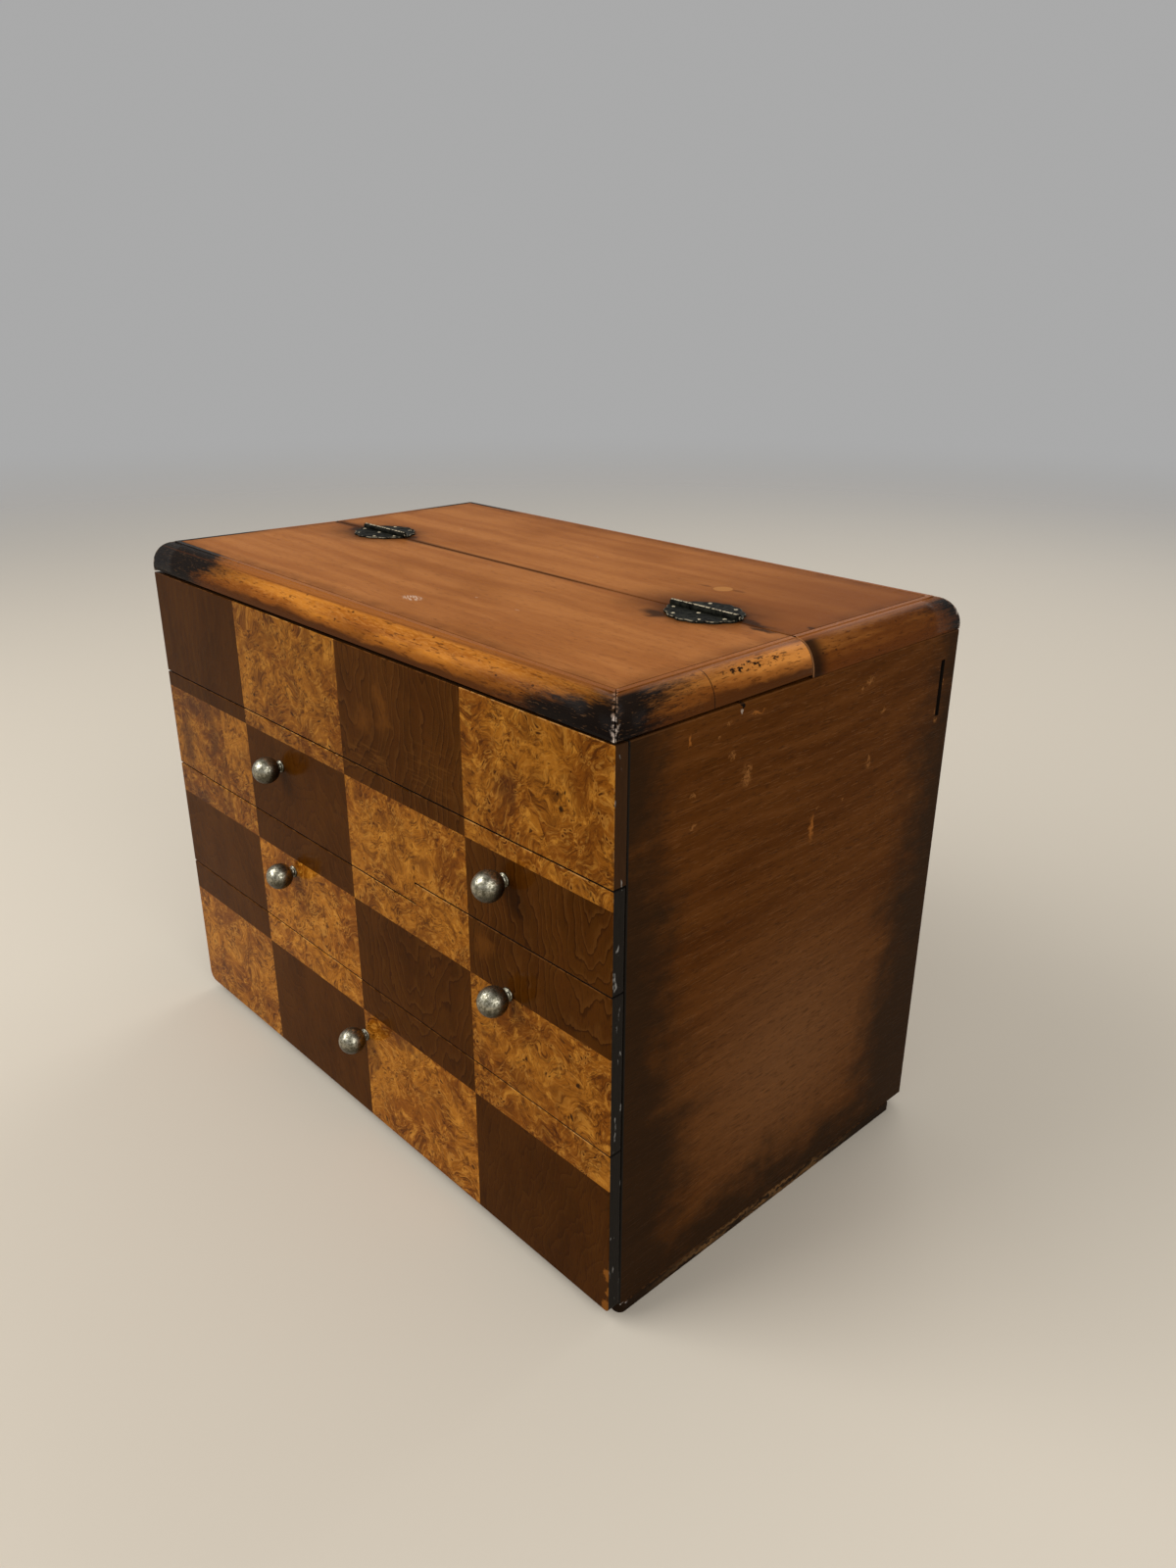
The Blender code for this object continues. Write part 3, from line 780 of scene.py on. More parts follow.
# %% Colour the side wood
side.tone = side.tint(bands, (0.06, 0.0172, 0.002), (0.086, 0.027, 0.004))
side.coats(
    (arches, 0.2, (0.14, 0.049, 0.012)),
    # painted light from the floor over the lower middle of the side
    (glow, 0.55, (0.165, 0.07, 0.0255)),
    (fibres, 0.38, (0.165, 0.064, 0.018)),
    (pores, 0.6, (0.03, 0.01, 0.002)),
    (shade, 0.86, (0.0155, 0.008, 0.0034)),
    (chips, 0.62, (0.27, 0.108, 0.028)),
    (side.marks(SIDE_STREAKS, 0.9), 0.6, (0.34, 0.115, 0.02)),
    # painted shade and painted glint of the notch
    (side.marks(NOTCH_PAINTED_SHADE, 0.5), 1, (0.004, 0.003, 0.002)),
    (side.marks(NOTCH_PAINTED_GLINT, 0.6), 0.6, (0.4, 0.33, 0.26)),
    (side.value_of("arris"), 0.15, (0.2, 0.085, 0.03)),
    (base_edge, 0.75, (0.012, 0.007, 0.004)),
    (base_wear, 0.6, (0.2, 0.098, 0.034)),
    # painted highlight on the base board's corner
    (painted_corner_glint, 0.75, (0.6, 0.55, 0.5)),
)
side.seal(side.spread(fibres, 0, 1, 0.26, 0.36), side.plus(fibres, chips), -0.04)

# %% Cut the side boards
SLOT_Y = (86.9 * MM, 89.5 * MM)
SLOT_Z = (200.4 * MM, 224.4 * MM)


def cut_slot(bm):
    """Cut a narrow slot through a side board, with walls inside it."""
    for y in SLOT_Y:
        cut(bm, (0, y, 0), (0, 1, 0))
    for z in SLOT_Z:
        cut(bm, (0, 0, z), (0, 0, 1))
    mouths = []
    for face in bm.faces:
        middle = face.calc_center_median()
        within = SLOT_Y[0] < middle.y < SLOT_Y[1] and SLOT_Z[0] < middle.z < SLOT_Z[1]
        if within and abs(face.normal.x) > SQUARE_ON:
            mouths.append(face)
    rims = [edge for face in mouths for edge in face.edges]
    bmesh.ops.delete(bm, geom=mouths, context="FACES_ONLY")
    for face in bmesh.ops.bridge_loops(bm, edges=rims)["faces"]:
        face.material_index = 1
    bmesh.ops.recalc_face_normals(bm, faces=bm.faces)


def side_board(node, slotted):
    """A side board, stained outside, black at its front end and bare inside."""
    low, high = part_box(node)
    bm = block(low, high)
    ease(bm, bm.edges, EASING)
    if slotted:
        cut_slot(bm)
    arris = bm.faces.layers.float["arris"]
    for face in bm.faces:
        if face.normal.x * math.copysign(1, low.x) < -SQUARE_ON:
            face.material_index = 2
        elif face.normal.y < FORWARD:
            face.material_index = 1
            face[arris] = 0.0
    keep(bm, node + "_board", node, "carcass", "side_wood", side, black_end, inner_deep)


side_board("left_side", False)
side_board("right_side", True)

# %% [markdown]
# ## The top panels
# The lid and the fixed rear half are flat panels of a warmer, lighter wood, satin rather than bright. Hands
# have scratched the middle and the polish went dark round the hinges. The real lid is slightly twisted:
# a small function lifts its left front corner by up to 1.6 mm and lowers its right one by 0.6 mm.

# %% Map the marks on the top
TOP_FACE = 249
PANEL_EDGES = (149.5, 87.5)


def on_top(*spots):
    """Spots on the top, each with its x and y and how far it reaches along them."""
    return [((x, y, TOP_FACE), (wide, deep, THROUGH)) for x, y, wide, deep in spots]


TOP_SCRATCHES = on_top(
    (14, -68, 6.5, 4.2), (-12, -8, 1.6, 0.6), (30, -48, 0.7, 1.6),
    (56, -49, 1.6, 0.5), (6, 40, 1.8, 0.6), (-89, 35, 2, 0.7),
)
HINGE_HALOS = on_top((-110, -2, 42, 31), (102, 4, 47, 31))
HINGE_STAINS = on_top(
    (131, 2, 13, 5), (137, -2, 9, 2), (-88, 3, 7, 5), (-124, -3, 9, 8),
    (96, -13, 12, 6), (148, 14, 3, 3), (-107, 0, 26, 22), (107, 1, 26, 22),
)
PLUG = on_top((86.5, 35.5, 4.4, 4.4))
PLUG_RIM = on_top((86.5, 35.5, 5.4, 5.4), (93.5, 37, 4.5, 1.6), (78, 34.5, 4, 1.2))
print(len(TOP_SCRATCHES), "scratches on the top")

# %% Draw the top wood
top = Finish("satin_top_wood", roughness=0.42, specular=0.006)
top.wander(50, 8)
bands = top.patches((120, 9, 9), 0.34, 0.66, detail=4)
clouds = top.patches((70, 50, 50), 0.46, 0.76, detail=2)
top.straighten()
top.wander(8, 0.8)
fibres = top.patches((16, 0.5, 0.5), 0.48, 0.72, detail=2)
pores = top.patches((4.5, 0.5, 0.5), 0.56, 0.72, detail=2, move=(1, 4, 2))
top.wander(9, 9)
halos = top.marks(HINGE_HALOS, 0.8)
stains = top.marks(HINGE_STAINS, 0.7)
# Patches for the painted shade along the panels' edges, next to the raised strips.
edge_shade_patches = top.patches(14, 0.3, 0.7, 0.25, 0.9, move=(4, 9, 1))
top.straighten()
# Painted shadow along the gap between the lid and the rear half, wider on the left and fainter on the right.
split_wide = top.calc("DIVIDE", top.axis("Y"), top.along("X", -120, -20, 1.8, 1))
painted_gap_shadow = top.times(top.line(split_wide, 0, 2.7), top.along("X", 70, 20, 0.35, 1))
scratches = top.times(top.marks(TOP_SCRATCHES, 0.6), top.patches((4, 0.45, 1), 0.47, 0.56, turn=(0, 0, 25)))
# Darker toward the rear right: painted light, for the weaker sheen on that part of the top.
rear_right = top.times(top.along("X", 30, 150), top.along("Y", -2, 2))
from_edge = top.calc("MINIMUM", top.inside("X", PANEL_EDGES[0]), top.inside("Y", PANEL_EDGES[1]))
painted_edge_shade = top.times(top.spread(from_edge, 9, 0), edge_shade_patches)
print("top wood drawn")

# %% Colour the top wood
top.tone = top.tint(bands, (0.285, 0.096, 0.024), (0.37, 0.138, 0.037))
top.coats(
    (clouds, 0.5, (0.19, 0.055, 0.0095)),
    (fibres, 0.25, (0.4, 0.15, 0.034)),
    (pores, 0.55, (0.13, 0.04, 0.01)),
    # painted darker where the top catches less sheen
    (rear_right, 0.7, (0.15, 0.04, 0.005)),
    (halos, 0.8, (0.07, 0.019, 0.004)),
    (stains, 0.85, (0.02, 0.008, 0.003)),
    # painted shade along the raised strips
    (painted_edge_shade, 0.55, (0.08, 0.023, 0.005)),
    (top.marks(PLUG_RIM, 0.5), 0.5, (0.08, 0.024, 0.005)),
    (top.marks(PLUG, 0.15), 0.75, (0.42, 0.175, 0.045)),
    # painted shadow in the gap between lid and rear half
    (painted_gap_shadow, 0.92, (0.022, 0.007, 0.002)),
    (scratches, 0.7, (0.62, 0.46, 0.34)),
    # painted shade along the panels' eased edges, darkening the gaps round them
    (top.value_of("arris"), 0.5, (0.085, 0.026, 0.007)),
)
top.seal(top.spread(fibres, 0, 1, 0.34, 0.44), top.plus(pores, scratches), -0.03)

# %% Fit the top panels
LID_TWIST = 1.1 * MM
LID_LIFT = 0.5 * MM
LID_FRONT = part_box("lid_strip_front")[0].y
LID_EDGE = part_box("lid_strip_right")[1].x
LID_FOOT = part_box("lid_strip_front")[0].z
THIN_EASING = 0.4 * MM
BEND_STEP = 20 * MM


def twist_lid(bm, foot):
    """Lower the lid's right and lift its left, but not what lies at the height of its foot."""
    crest = max(vert.co.z for vert in bm.verts)
    for vert in bm.verts:
        forward = max(0.0, vert.co.y / LID_FRONT)
        lift = forward * (LID_LIFT - LID_TWIST * vert.co.x / LID_EDGE)
        vert.co.z += lift * (vert.co.z - foot) / (crest - foot) if lift > 0 else lift


def slice_up(bm, axis):
    """Cut a piece across at even steps, so that it can bend."""
    places = [vert.co[axis] for vert in bm.verts]
    low, high = min(places), max(places)
    across = Vector((axis == 0, axis == 1, 0))
    count = round((high - low) / BEND_STEP)
    for number in range(1, count):
        cut(bm, across * (low + (high - low) * number / count), across)


def top_panel(node, body):
    """One half of the top, polished above and bare below."""
    bm = block(*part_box(node))
    ease(bm, bm.edges, THIN_EASING)
    if body == "lid":
        slice_up(bm, 0)
        slice_up(bm, 1)
        twist_lid(bm, LID_FOOT)
    for face in bm.faces:
        if face.normal.z < -SQUARE_ON:
            face.material_index = 1
    keep(bm, node + "_board", node, body, "top_wood", top, inner_along)


top_panel("lid_panel", "lid")
top_panel("rear_top_panel", "carcass")

# %% [markdown]
# ## The rounded strips
# A quarter-round strip with mitred ends frames each half of the top. It could be swept along a path, but a
# block is enough: pull its inner corners in for the mitres, then bevel its outer upper edge by almost
# the whole width. Squashing the block first makes that round an oval, as on the real strips. Their wood is
# golden and darker along the foot, with painted shadow at the very foot and beside the gap under the lid;
# black with polish at the corners, and worn pale along the mitres with a painted glint low on them.

# %% Blacken the strips' corners
STRIP_HEIGHTS = (240, 247.5)


def black_corners(wood, band_size, fibre_size, reaches, left_reaches):
    """Draw black corners that reach so far low down and high up, and on the left so much further."""
    wood.wander(22, 13)
    from_corner = wood.plus(wood.inside("X", SIDE_FACE), wood.inside("Y", -FRONT_FACE))
    from_corner = wood.plus(from_corner, wood.along("Y", 0, 40, 0, 13))
    on_left = wood.along("X", 60, -60)
    sway = wood.sway(6, band_size, detail=2)
    wood.straighten()
    height = wood.plus(wood.axis("Z"), sway)
    left_reach = wood.times(on_left, wood.spread(height, *STRIP_HEIGHTS, *left_reaches))
    reach = wood.plus(wood.spread(height, *STRIP_HEIGHTS, *reaches), left_reach)
    beyond = wood.less(from_corner, reach)
    near = wood.spread(beyond, 36, -4)
    wood.wander(6, 1.4)
    coarse = [2.5 * size for size in fibre_size]
    ragged = wood.sway(46, coarse, detail=4, roughness=0.7, move=(6, 4, 2))
    corner = wood.spread(wood.plus(beyond, ragged), 15, -11)
    speckle = wood.patches(fibre_size, 0.5, 0.66, detail=4, roughness=0.7)
    black = wood.most(corner, wood.times(speckle, near))
    brown = wood.spread(beyond, 62, -4)
    return height, near, brown, black, wood.times(black, on_left)


print("corners blacken from", *STRIP_HEIGHTS, "mm up")


# %% Mix the strip finishes
def strip_wood(name, band_size, fibre_size, reaches, left_reaches, golds):
    """Golden strip wood, with its grain along the longest of these sizes."""
    wood = Finish(name, roughness=0.28, specular=0.02)
    corners = black_corners(wood, band_size, fibre_size, reaches, left_reaches)
    height, near, brown, black, left_black = corners
    bands = wood.patches(band_size, 0.34, 0.66, detail=4)
    fibres = wood.patches(fibre_size, 0.42, 0.66, detail=2, move=(3, 7, 5))
    scratched = wood.patches(fibre_size, 0.6, 0.68, move=(1, 5, 9))
    wood.straighten()
    mitre = wood.less(wood.inside("X", SIDE_FACE), wood.inside("Y", -FRONT_FACE))
    worn = wood.line(wood.plus(mitre, wood.sway(5, 3)), 0, 1.7)
    rubbed = wood.patches(1.6, 0.44, 0.6, detail=4)
    worn = wood.times(worn, rubbed, wood.along("X", -101, 101, 0.35, 1))
    # A painted highlight on the lower part of the worn mitres.
    painted_mitre_glint = wood.times(worn, wood.along("Z", 245, 243))
    rear_half = wood.along("Y", -0.5, 0.5)
    # Painted shadow on the rear strips next to the gap under the lid.
    painted_split_shadow = wood.times(wood.along("Y", 11, 3), rear_half)
    scuffs = wood.grain([1.5 * size for size in fibre_size], move=(8, 2, 4))
    specks = wood.patches((1.3, 1.9, 1.1), 0.52, 0.6, detail=2)
    specks = wood.times(specks, wood.mark((157, -30, 246.3), (30, 22, 1.7), 0.5))
    joint = wood.times(wood.line(wood.axis("Y"), -52.5, 0.4), wood.along("X", 100, 101))
    fillet = wood.times(wood.along("Z", 247.6, 248.6), wood.spread(left_black, 1, 0))
    nicks = wood.spread(wood.pips((9, 9, 5)), 0.1, 0.05)

    wood.tone = wood.tint(bands, *golds)
    wood.coats(
        (fibres, 0.35, (0.52, 0.215, 0.045)),
        # Darker red-brown on the lower round, partly the wood's tone, and nearly black at the very foot:
        # painted shadow where the round turns down to the panel.
        (wood.spread(height, 244.8, 241.6), 0.75, (0.165, 0.047, 0.0065)),
        (wood.spread(height, 241.6, 238.9), 0.85, (0.036, 0.011, 0.003)),
        (rear_half, wood.spread(bands, 0, 1, 0.94, 0.74), (0.1, 0.027, 0.0042)),
        (wood.spread(scuffs, 0.57, 0.66), 0.7, (0.06, 0.016, 0.003)),
        (brown, 0.62, (0.085, 0.024, 0.004)),
        (wood.most(specks, joint), 1, (0.016, 0.007, 0.003)),
        # painted shadow beside the gap under the lid
        (painted_split_shadow, 0.9, (0.012, 0.006, 0.003)),
        (nicks, 0.8, (0.03, 0.01, 0.003)),
        (black, 0.985, (0.0062, 0.0048, 0.004)),
        (wood.times(scratched, near), 0.22, (0.22, 0.105, 0.04)),
        (fillet, 0.85, (0.25, 0.078, 0.015)),
        (wood.line(wood.axis("Z"), 248.35, 0.35), 0.4, (0.085, 0.024, 0.005)),
        (worn, 0.8, (0.42, 0.24, 0.14)),
        # painted highlight low on the mitres
        (painted_mitre_glint, 0.75, (0.7, 0.62, 0.54)),
        (wood.value_of("arris"), 0.4, (0.42, 0.19, 0.075)),
    )
    wood.seal(wood.spread(fibres, 0, 1, 0.22, 0.32), wood.less(fibres, nicks), 0.02)
    return wood


FRONT_GOLDS = ((0.27, 0.08, 0.008), (0.47, 0.168, 0.019))
SIDE_GOLDS = ((0.37, 0.12, 0.02), (0.58, 0.218, 0.042))
strip_along = strip_wood("strip_wood_along", (60, 5, 4), (3.6, 0.5, 0.5), (46, 17), (-2, 50), FRONT_GOLDS)
strip_deep = strip_wood("strip_wood_deep", (5, 60, 4), (0.5, 3.6, 0.5), (20, 34), (-10, 29), SIDE_GOLDS)

# %% Shape the strips
STRIP_STEP = 0.3 * MM
STRIP_FILLET = 2.0 * MM
STRIP_LAND = 1.0 * MM
STRIP_WEAR = 0.4 * MM
WEAR_CLEAR = 0.1 * MM
LEFT_DROP = 1.0 * MM
LEVEL = 0.999
END_ON = 0.95


def lift_faces(bm, faces, height):
    """Raise faces and leave walls below them."""
    raised = bmesh.ops.extrude_face_region(bm, geom=faces)["geom"]
    lifted = [item for item in raised if isinstance(item, bmesh.types.BMVert)]
    bmesh.ops.translate(bm, vec=(0, 0, height), verts=lifted)


def strip(node, body, outward, mitred):
    """A strip whose round faces outward; mitred names the ends that meet another strip."""
    low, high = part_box(node)
    low.z -= LEFT_DROP if node == "lid_strip_left" else 0.0
    foot = low.z
    across = 0 if outward[0] else 1
    length = 1 - across
    width = high[across] - low[across]
    outer = high[across] if outward[across] > 0 else low[across]
    bm = block(low, (high.x, high.y, high.z - STRIP_STEP))
    for vert in bm.verts:
        if abs(vert.co[across] - outer) > width / 2:
            for end in mitred:
                bound = low[length] if end < 0 else high[length]
                if abs(vert.co[length] - bound) < MM:
                    vert.co[length] -= end * width

    round_width = width - STRIP_FILLET
    squash = round_width / (high.z - STRIP_STEP - STRIP_LAND - foot)
    to_foot = Matrix.Translation((0, 0, foot))
    squashing = to_foot @ Matrix.Diagonal((1, 1, squash, 1)) @ to_foot.inverted()
    bmesh.ops.transform(bm, matrix=squashing, verts=bm.verts)
    crest = max(vert.co.z for vert in bm.verts)
    ridge = edges_where(bm, lambda at: abs(at[across] - outer) < TOUCH and abs(at.z - crest) < TOUCH)
    for face in round_over(bm, ridge, round_width, segments=14):
        face.smooth = True
    bmesh.ops.transform(bm, matrix=squashing.inverted(), verts=bm.verts)

    flat = [face for face in bm.faces if face.normal.z > LEVEL]
    lift_faces(bm, flat, STRIP_STEP)
    bmesh.ops.delete(bm, geom=flat, context="FACES_ONLY")
    bmesh.ops.recalc_face_normals(bm, faces=bm.faces)
    worn = set()
    for face in bm.faces:
        if abs(face.normal[length]) > END_ON:
            for edge in face.edges:
                middle = (edge.verts[0].co + edge.verts[1].co) / 2
                depth = (outer - middle[across]) * outward[across]
                if middle.z > foot + WEAR_CLEAR and depth < width - WEAR_CLEAR:
                    worn.add(edge)
    ease(bm, worn, STRIP_WEAR, 2)
    slice_up(bm, length)
    if body == "lid":
        twist_lid(bm, foot)
    bmesh.ops.recalc_face_normals(bm, faces=bm.faces)
    finish = strip_along if length == 0 else strip_deep
    keep(bm, node.replace("strip", "rounded_strip"), node, body, "strip_wood", finish)


strip("lid_strip_front", "lid", (0, -1, 0), (-1, 1))
strip("lid_strip_left", "lid", (-1, 0, 0), (-1,))
strip("lid_strip_right", "lid", (1, 0, 0), (-1,))
strip("rear_strip_back", "carcass", (0, 1, 0), (-1, 1))
strip("rear_strip_left", "carcass", (-1, 0, 0), (1,))
strip("rear_strip_right", "carcass", (1, 0, 0), (1,))

# %% [markdown]
# ## The hinges
# A butterfly hinge has two leaves cut with small scallops, joined by knuckles on a pin and nailed to the top.
# The leaf's outline is a line of points that is filled, extruded and bevelled, so its rim can be worn
# bright while the plate is dark. Its knuckles are short tubes made by spinning a small profile.

# %% Mix the metals
bronze = Finish("blackened_bronze", roughness=0.42, specular=0.012)
tarnish = bronze.patches(2.2, 0.35, 0.68, detail=4)
# rubbed: worn bright on rims and nails, and on the knuckles' crowns also a painted highlight.
rubbed = bronze.times(bronze.value_of("arris"), bronze.patches(1.4, 0.4, 0.58))
bronze.tone = bronze.tint(tarnish, (0.005, 0.005, 0.004), (0.017, 0.017, 0.012))
bronze.coats((rubbed, 1, (0.44, 0.37, 0.25)))
bronze.seal(bronze.spread(tarnish, 0, 1, 0.5, 0.36), tarnish, 0.05)

pewter = Finish("mottled_pewter", roughness=0.3, metallic=1.0)
mottle = pewter.patches(1.3, 0.36, 0.66, detail=5, roughness=0.65)
specks = pewter.patches(0.4, 0.58, 0.7, detail=2)
# rubbed: rubbed bright and painted light where a face turns up and forward, painted shade below.
rubbed = pewter.spread(pewter.value_of("rubbed"), 0, 1)
pewter.tone = pewter.tint(mottle, (0.135, 0.124, 0.082), (0.52, 0.486, 0.38))
pewter.coats(
    (pewter.spread(rubbed, 1, 0), 0.86, (0.045, 0.04, 0.026)),
    (specks, 0.6, (0.06, 0.05, 0.03)),
)
pewter.seal(pewter.spread(mottle, 0, 1, 0.43, 0.27), mottle, 0.03)

# %% Cut the hinge leaves
PIN_LOW, PIN_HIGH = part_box("hinge_left_pin")
AXIS_Z = (PIN_LOW.z + PIN_HIGH.z) / 2
KNUCKLE_R = 1.3 * MM
PIN_R = 0.6 * MM
LEAF_CLEAR = KNUCKLE_R + 0.3 * MM
LEAF_FULLNESS = 1.8
LEAF_POINTS = 126
SCALLOPS = 7
SCALLOP_DEPTH = 0.9 * MM
KNUCKLE_CROWN = 0.88

# How brightly the knuckles' crowns, the nails and the leaves' rims are rubbed; on the crowns it is also a
# painted highlight.
CROWN_RUB_AND_HIGHLIGHT, NAIL_RUB, RIM_RUB = 1.5, 3.0, 0.5


def leaf_outline(half, reach):
    """Points along a half oval with small scallops."""
    points = []
    for step in range(LEAF_POINTS + 1):
        angle = math.pi * step / LEAF_POINTS
        lobe = SCALLOP_DEPTH * (abs(math.sin(SCALLOPS * angle)) - 1)
        wide = math.copysign(abs(math.cos(angle)) ** (2 / LEAF_FULLNESS), math.cos(angle)) * (half + lobe)
        deep = math.sin(angle) ** (2 / LEAF_FULLNESS) * (reach + lobe)
        points.append((wide, max(LEAF_CLEAR, deep)))
    return points


def spin_round(bm, points, edges, centre, axis, steps):
    """Turn a line once round an axis."""
    bmesh.ops.spin(
        bm, geom=points + edges, cent=centre, axis=axis, dvec=(0, 0, 0),
        angle=math.tau, steps=steps, use_merge=True,
    )


def tube(bm, centre_x, width):
    """A knuckle: a short tube round the hinge's axis, rubbed bright on top, where the colour also paints a
    highlight.
    """
    section = ((-1, PIN_R), (-1, KNUCKLE_R), (1, KNUCKLE_R), (1, PIN_R))
    rim = [bm.verts.new((centre_x + end * width / 2, 0, AXIS_Z + radius)) for end, radius in section]
    ring = [bm.edges.new((rim[number - 1], rim[number])) for number in range(len(rim))]
    spin_round(bm, rim, ring, (centre_x, 0, AXIS_Z), (1, 0, 0), steps=24)
    arris = bm.faces.layers.float["arris"]
    for face in bm.faces:
        middle = face.calc_center_median()
        radius = math.hypot(middle.y, middle.z - AXIS_Z)
        if abs(middle.x - centre_x) < width / 2 and radius < KNUCKLE_R + TOUCH:
            face.smooth = True
            face[arris] = CROWN_RUB_AND_HIGHLIGHT if (middle.z - AXIS_Z) / KNUCKLE_R > KNUCKLE_CROWN else 0.0


print("hinge axis at", round(AXIS_Z / MM, 2), "mm")

# %% Fold the leaves round the pin
LEAF_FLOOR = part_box("rear_top_panel")[1].z + 0.05 * MM
LEAF_T = 0.9 * MM
LEAF_EASING = 0.3 * MM
TAB_REACH = LEAF_CLEAR * 1.3
TAB_GAP = 0.1 * MM
NAIL_R = 0.85 * MM
NAIL_FLATNESS = 0.32
NAIL_SINK = 0.05 * MM
NAILS = [(-13.0, 3.4), (0.0, 3.4), (13.0, 3.4), (-6.5, 10.6), (6.5, 10.6)]


def leaf_plate(bm, middle, half, reach, hand):
    """The flat of a leaf, with its rim eased."""
    outline = [bm.verts.new((middle + x, hand * y, LEAF_FLOOR)) for x, y in leaf_outline(half, reach)]
    lift_faces(bm, [bm.faces.new(outline)], LEAF_T)
    bmesh.ops.remove_doubles(bm, verts=bm.verts, dist=TOUCH)
    bmesh.ops.recalc_face_normals(bm, faces=bm.faces)
    ease(bm, edges_where(bm, lambda at: at.z > LEAF_FLOOR + LEAF_T / 2), LEAF_EASING, 2)


def hinge_leaf(node, body, hand, knuckles):
    """A scalloped leaf with its knuckles and nails; hand is -1 on the lid and 1 behind it."""
    low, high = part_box(node)
    middle = (low.x + high.x) / 2
    bm = bmesh.new()
    arris = bm.faces.layers.float.new("arris")
    leaf_plate(bm, middle, (high.x - low.x) / 2, max(-low.y, high.y), hand)
    for face in bm.faces:
        face[arris] *= RIM_RUB
    for left, right in knuckles:
        tube(bm, middle + (left + right) / 2, right - left)
        tab_low = (middle + left, min(hand * TAB_REACH, 0), AXIS_Z - KNUCKLE_R)
        tab_high = (middle + right, max(hand * TAB_REACH, 0), AXIS_Z - PIN_R - TAB_GAP)
        block(tab_low, tab_high, bm)
    for x, y in NAILS:
        head = Matrix.Translation((middle + x * MM, hand * y * MM, LEAF_FLOOR + LEAF_T - NAIL_SINK))
        made = bmesh.ops.create_uvsphere(bm, u_segments=14, v_segments=8, radius=NAIL_R, matrix=head)
        flatten = Matrix.Diagonal((1, 1, NAIL_FLATNESS, 1))
        bmesh.ops.transform(bm, matrix=flatten, space=head.inverted(), verts=made["verts"])
        for face in {face for vert in made["verts"] for face in vert.link_faces}:
            face.smooth = True
            face[arris] = NAIL_RUB
    keep(bm, node.replace("hinge", "butterfly_hinge"), node, body, "hinge_metal", bronze)


print(len(NAILS), "nails in each leaf")

# %% Hang the hinges
MIDDLE_KNUCKLE = 6.5 * MM
OUTER_KNUCKLE = 17.0 * MM
KNUCKLE_GAP = 0.15 * MM
PIN_FIT = 0.96
PIN_EASING = 0.2 * MM

inner_end = MIDDLE_KNUCKLE - KNUCKLE_GAP
outer_start = MIDDLE_KNUCKLE + KNUCKLE_GAP
for hinge in ("hinge_left", "hinge_right"):
    hinge_leaf(hinge + "_rear_leaf", "carcass", 1, [(-inner_end, inner_end)])
    hinge_leaf(hinge + "_lid_leaf", "lid", -1, [(-OUTER_KNUCKLE, -outer_start), (outer_start, OUTER_KNUCKLE)])
    low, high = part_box(hinge + "_pin")
    lie = Matrix.Translation(((low.x + high.x) / 2, 0, AXIS_Z)) @ Matrix.Rotation(math.pi / 2, 4, "Y")
    bm = bmesh.new()
    bmesh.ops.create_cone(
        bm, cap_ends=True, segments=16, radius1=PIN_R * PIN_FIT, radius2=PIN_R * PIN_FIT,
        depth=high.x - low.x, matrix=lie,
    )
    ease(bm, sharp_edges(bm, least=1.0), PIN_EASING, 2)
    keep(bm, "butterfly_" + hinge + "_pin", hinge + "_pin", "carcass", "hinge_metal", bronze)

# %% [markdown]
# ## The knobs
# Each drawer has a turned ball knob on a very short neck and a thin collar, rubbed bright where fingers
# reach; it is painted lighter on top and darker below, as light and shade. A turner works from a profile,
# and spin does the same: half of the outline is drawn in points and turned once round its own axis.

# %% Turn the knobs
BALL_R = 6.0 * MM
BALL_STEPS = 24
NECK_R = 1.9 * MM
COLLAR_R = 2.8 * MM
COLLAR_T = 0.9 * MM
COLLAR_SINK = 0.05 * MM
# How rubbed and lit a face is painted: all over, for facing up, and for facing forward.
RUB_AND_LIGHT_ALL, RUB_AND_LIGHT_ABOVE, RUB_AND_LIGHT_BEFORE = 0.3, 0.75, 0.25


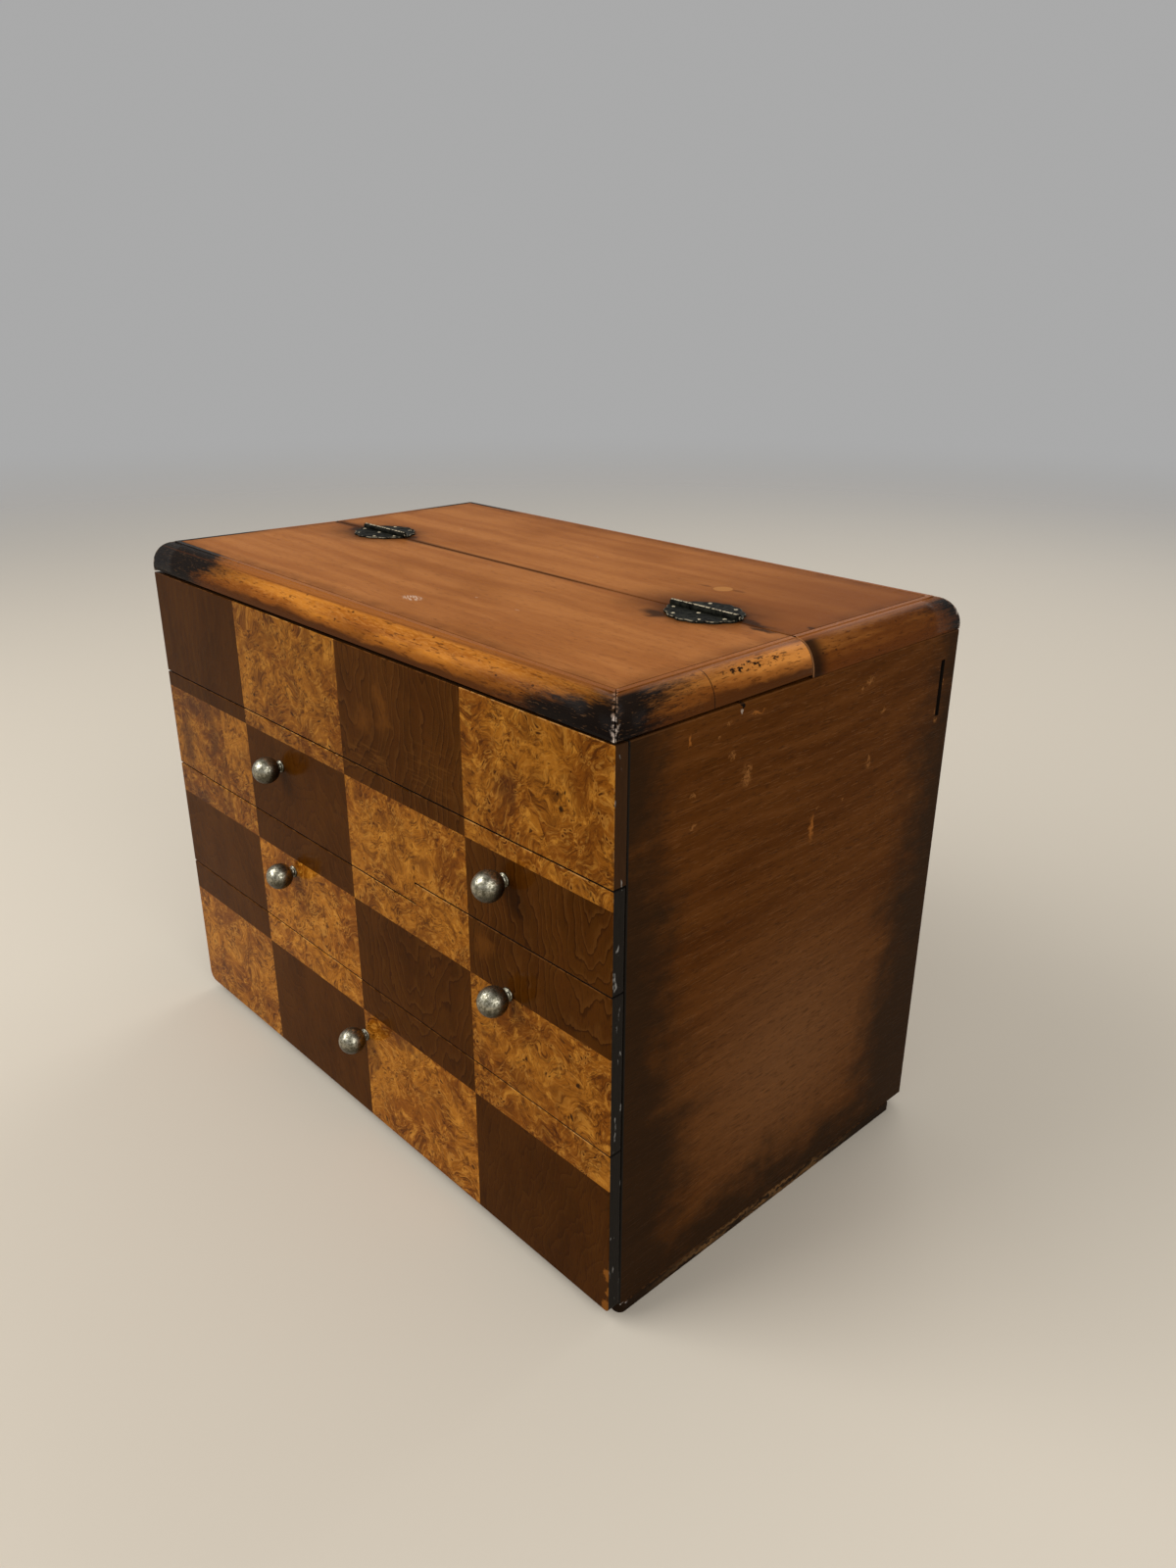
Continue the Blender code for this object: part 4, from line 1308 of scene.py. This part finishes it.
def knob(node, body):
    """A ball knob, with how rubbed and how lit each face is painted by the way it faces."""
    low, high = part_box(node)
    ball = Vector(((low.x + high.x) / 2, low.y + BALL_R, (low.z + high.z) / 2))
    face_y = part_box(node.replace("_knob", "_drawer_front"))[0].y
    last = math.pi - math.asin(NECK_R / BALL_R)
    angles = [step / BALL_STEPS * last for step in range(BALL_STEPS + 1)]
    profile = [(BALL_R * math.sin(angle), ball.y - BALL_R * math.cos(angle)) for angle in angles]
    profile += [
        (NECK_R, face_y - COLLAR_T - 0.3 * MM),
        (NECK_R + 0.25 * MM, face_y - COLLAR_T),
        (COLLAR_R - 0.15 * MM, face_y - 0.75 * COLLAR_T),
        (COLLAR_R, face_y - 0.5 * COLLAR_T),
        (COLLAR_R, face_y + COLLAR_SINK),
        (0, face_y + COLLAR_SINK),
    ]
    bm = bmesh.new()
    outline = [bm.verts.new((ball.x + radius, y, ball.z)) for radius, y in profile]
    edges = [bm.edges.new(pair) for pair in zip(outline, outline[1:])]
    spin_round(bm, outline, edges, ball, (0, 1, 0), steps=48)
    bmesh.ops.remove_doubles(bm, verts=bm.verts, dist=TOUCH)
    bmesh.ops.recalc_face_normals(bm, faces=bm.faces)
    rubbed = bm.faces.layers.float.new("rubbed")
    for face in bm.faces:
        face.smooth = True
        face[rubbed] = RUB_AND_LIGHT_ALL + RUB_AND_LIGHT_ABOVE * face.normal.z - RUB_AND_LIGHT_BEFORE * face.normal.y
    keep(bm, node.replace("knob", "ball_knob"), node, body, "knob_metal", pewter)


for drawer in DRAWERS:
    knob(drawer + "_knob", drawer + "_drawer")

# %% [markdown]
# ## Inside, back and base
# Shelves, divider, back panel and drawer walls are plain boards with eased edges. They show only when a
# drawer or the lid is open, or from behind. The base board is stained like the sides, and its front
# corners are rounded, so that the worn corners of the lowest front do not stand on a sharp one.

# %% Fit the inner boards
BASE_CORNER = 3.0 * MM
INNER_BOARDS = ["tray_floor", "lower_shelf", "drawer_divider", "left_shelf", "right_shelf"]


def plain_board(node, body, finish):
    bm = block(*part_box(node))
    ease(bm, bm.edges, THIN_EASING, 2)
    keep(bm, node + "_board", node, body, "inner_wood", finish)


for node in INNER_BOARDS:
    plain_board(node, "carcass", inner_deep if "divider" in node else inner_along)
for drawer in DRAWERS:
    for wall in ("left", "right", "floor", "back"):
        grain_way = inner_deep if wall in ("left", "right") else inner_along
        plain_board(drawer + "_drawer_" + wall, drawer + "_drawer", grain_way)
plain_board("back_panel", "carcass", back_wood)

low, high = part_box("base_board")
bm = block(low, high)
front_edges = edges_where(bm, lambda at: at.y < low.y + EASING)
round_over(bm, [edge for edge in front_edges if upright(edge, MM)], BASE_CORNER, segments=6)
ease(bm, sharp_edges(bm), EASING)
keep(bm, "base_board_board", "base_board", "carcass", "side_wood", side)

# %% [markdown]
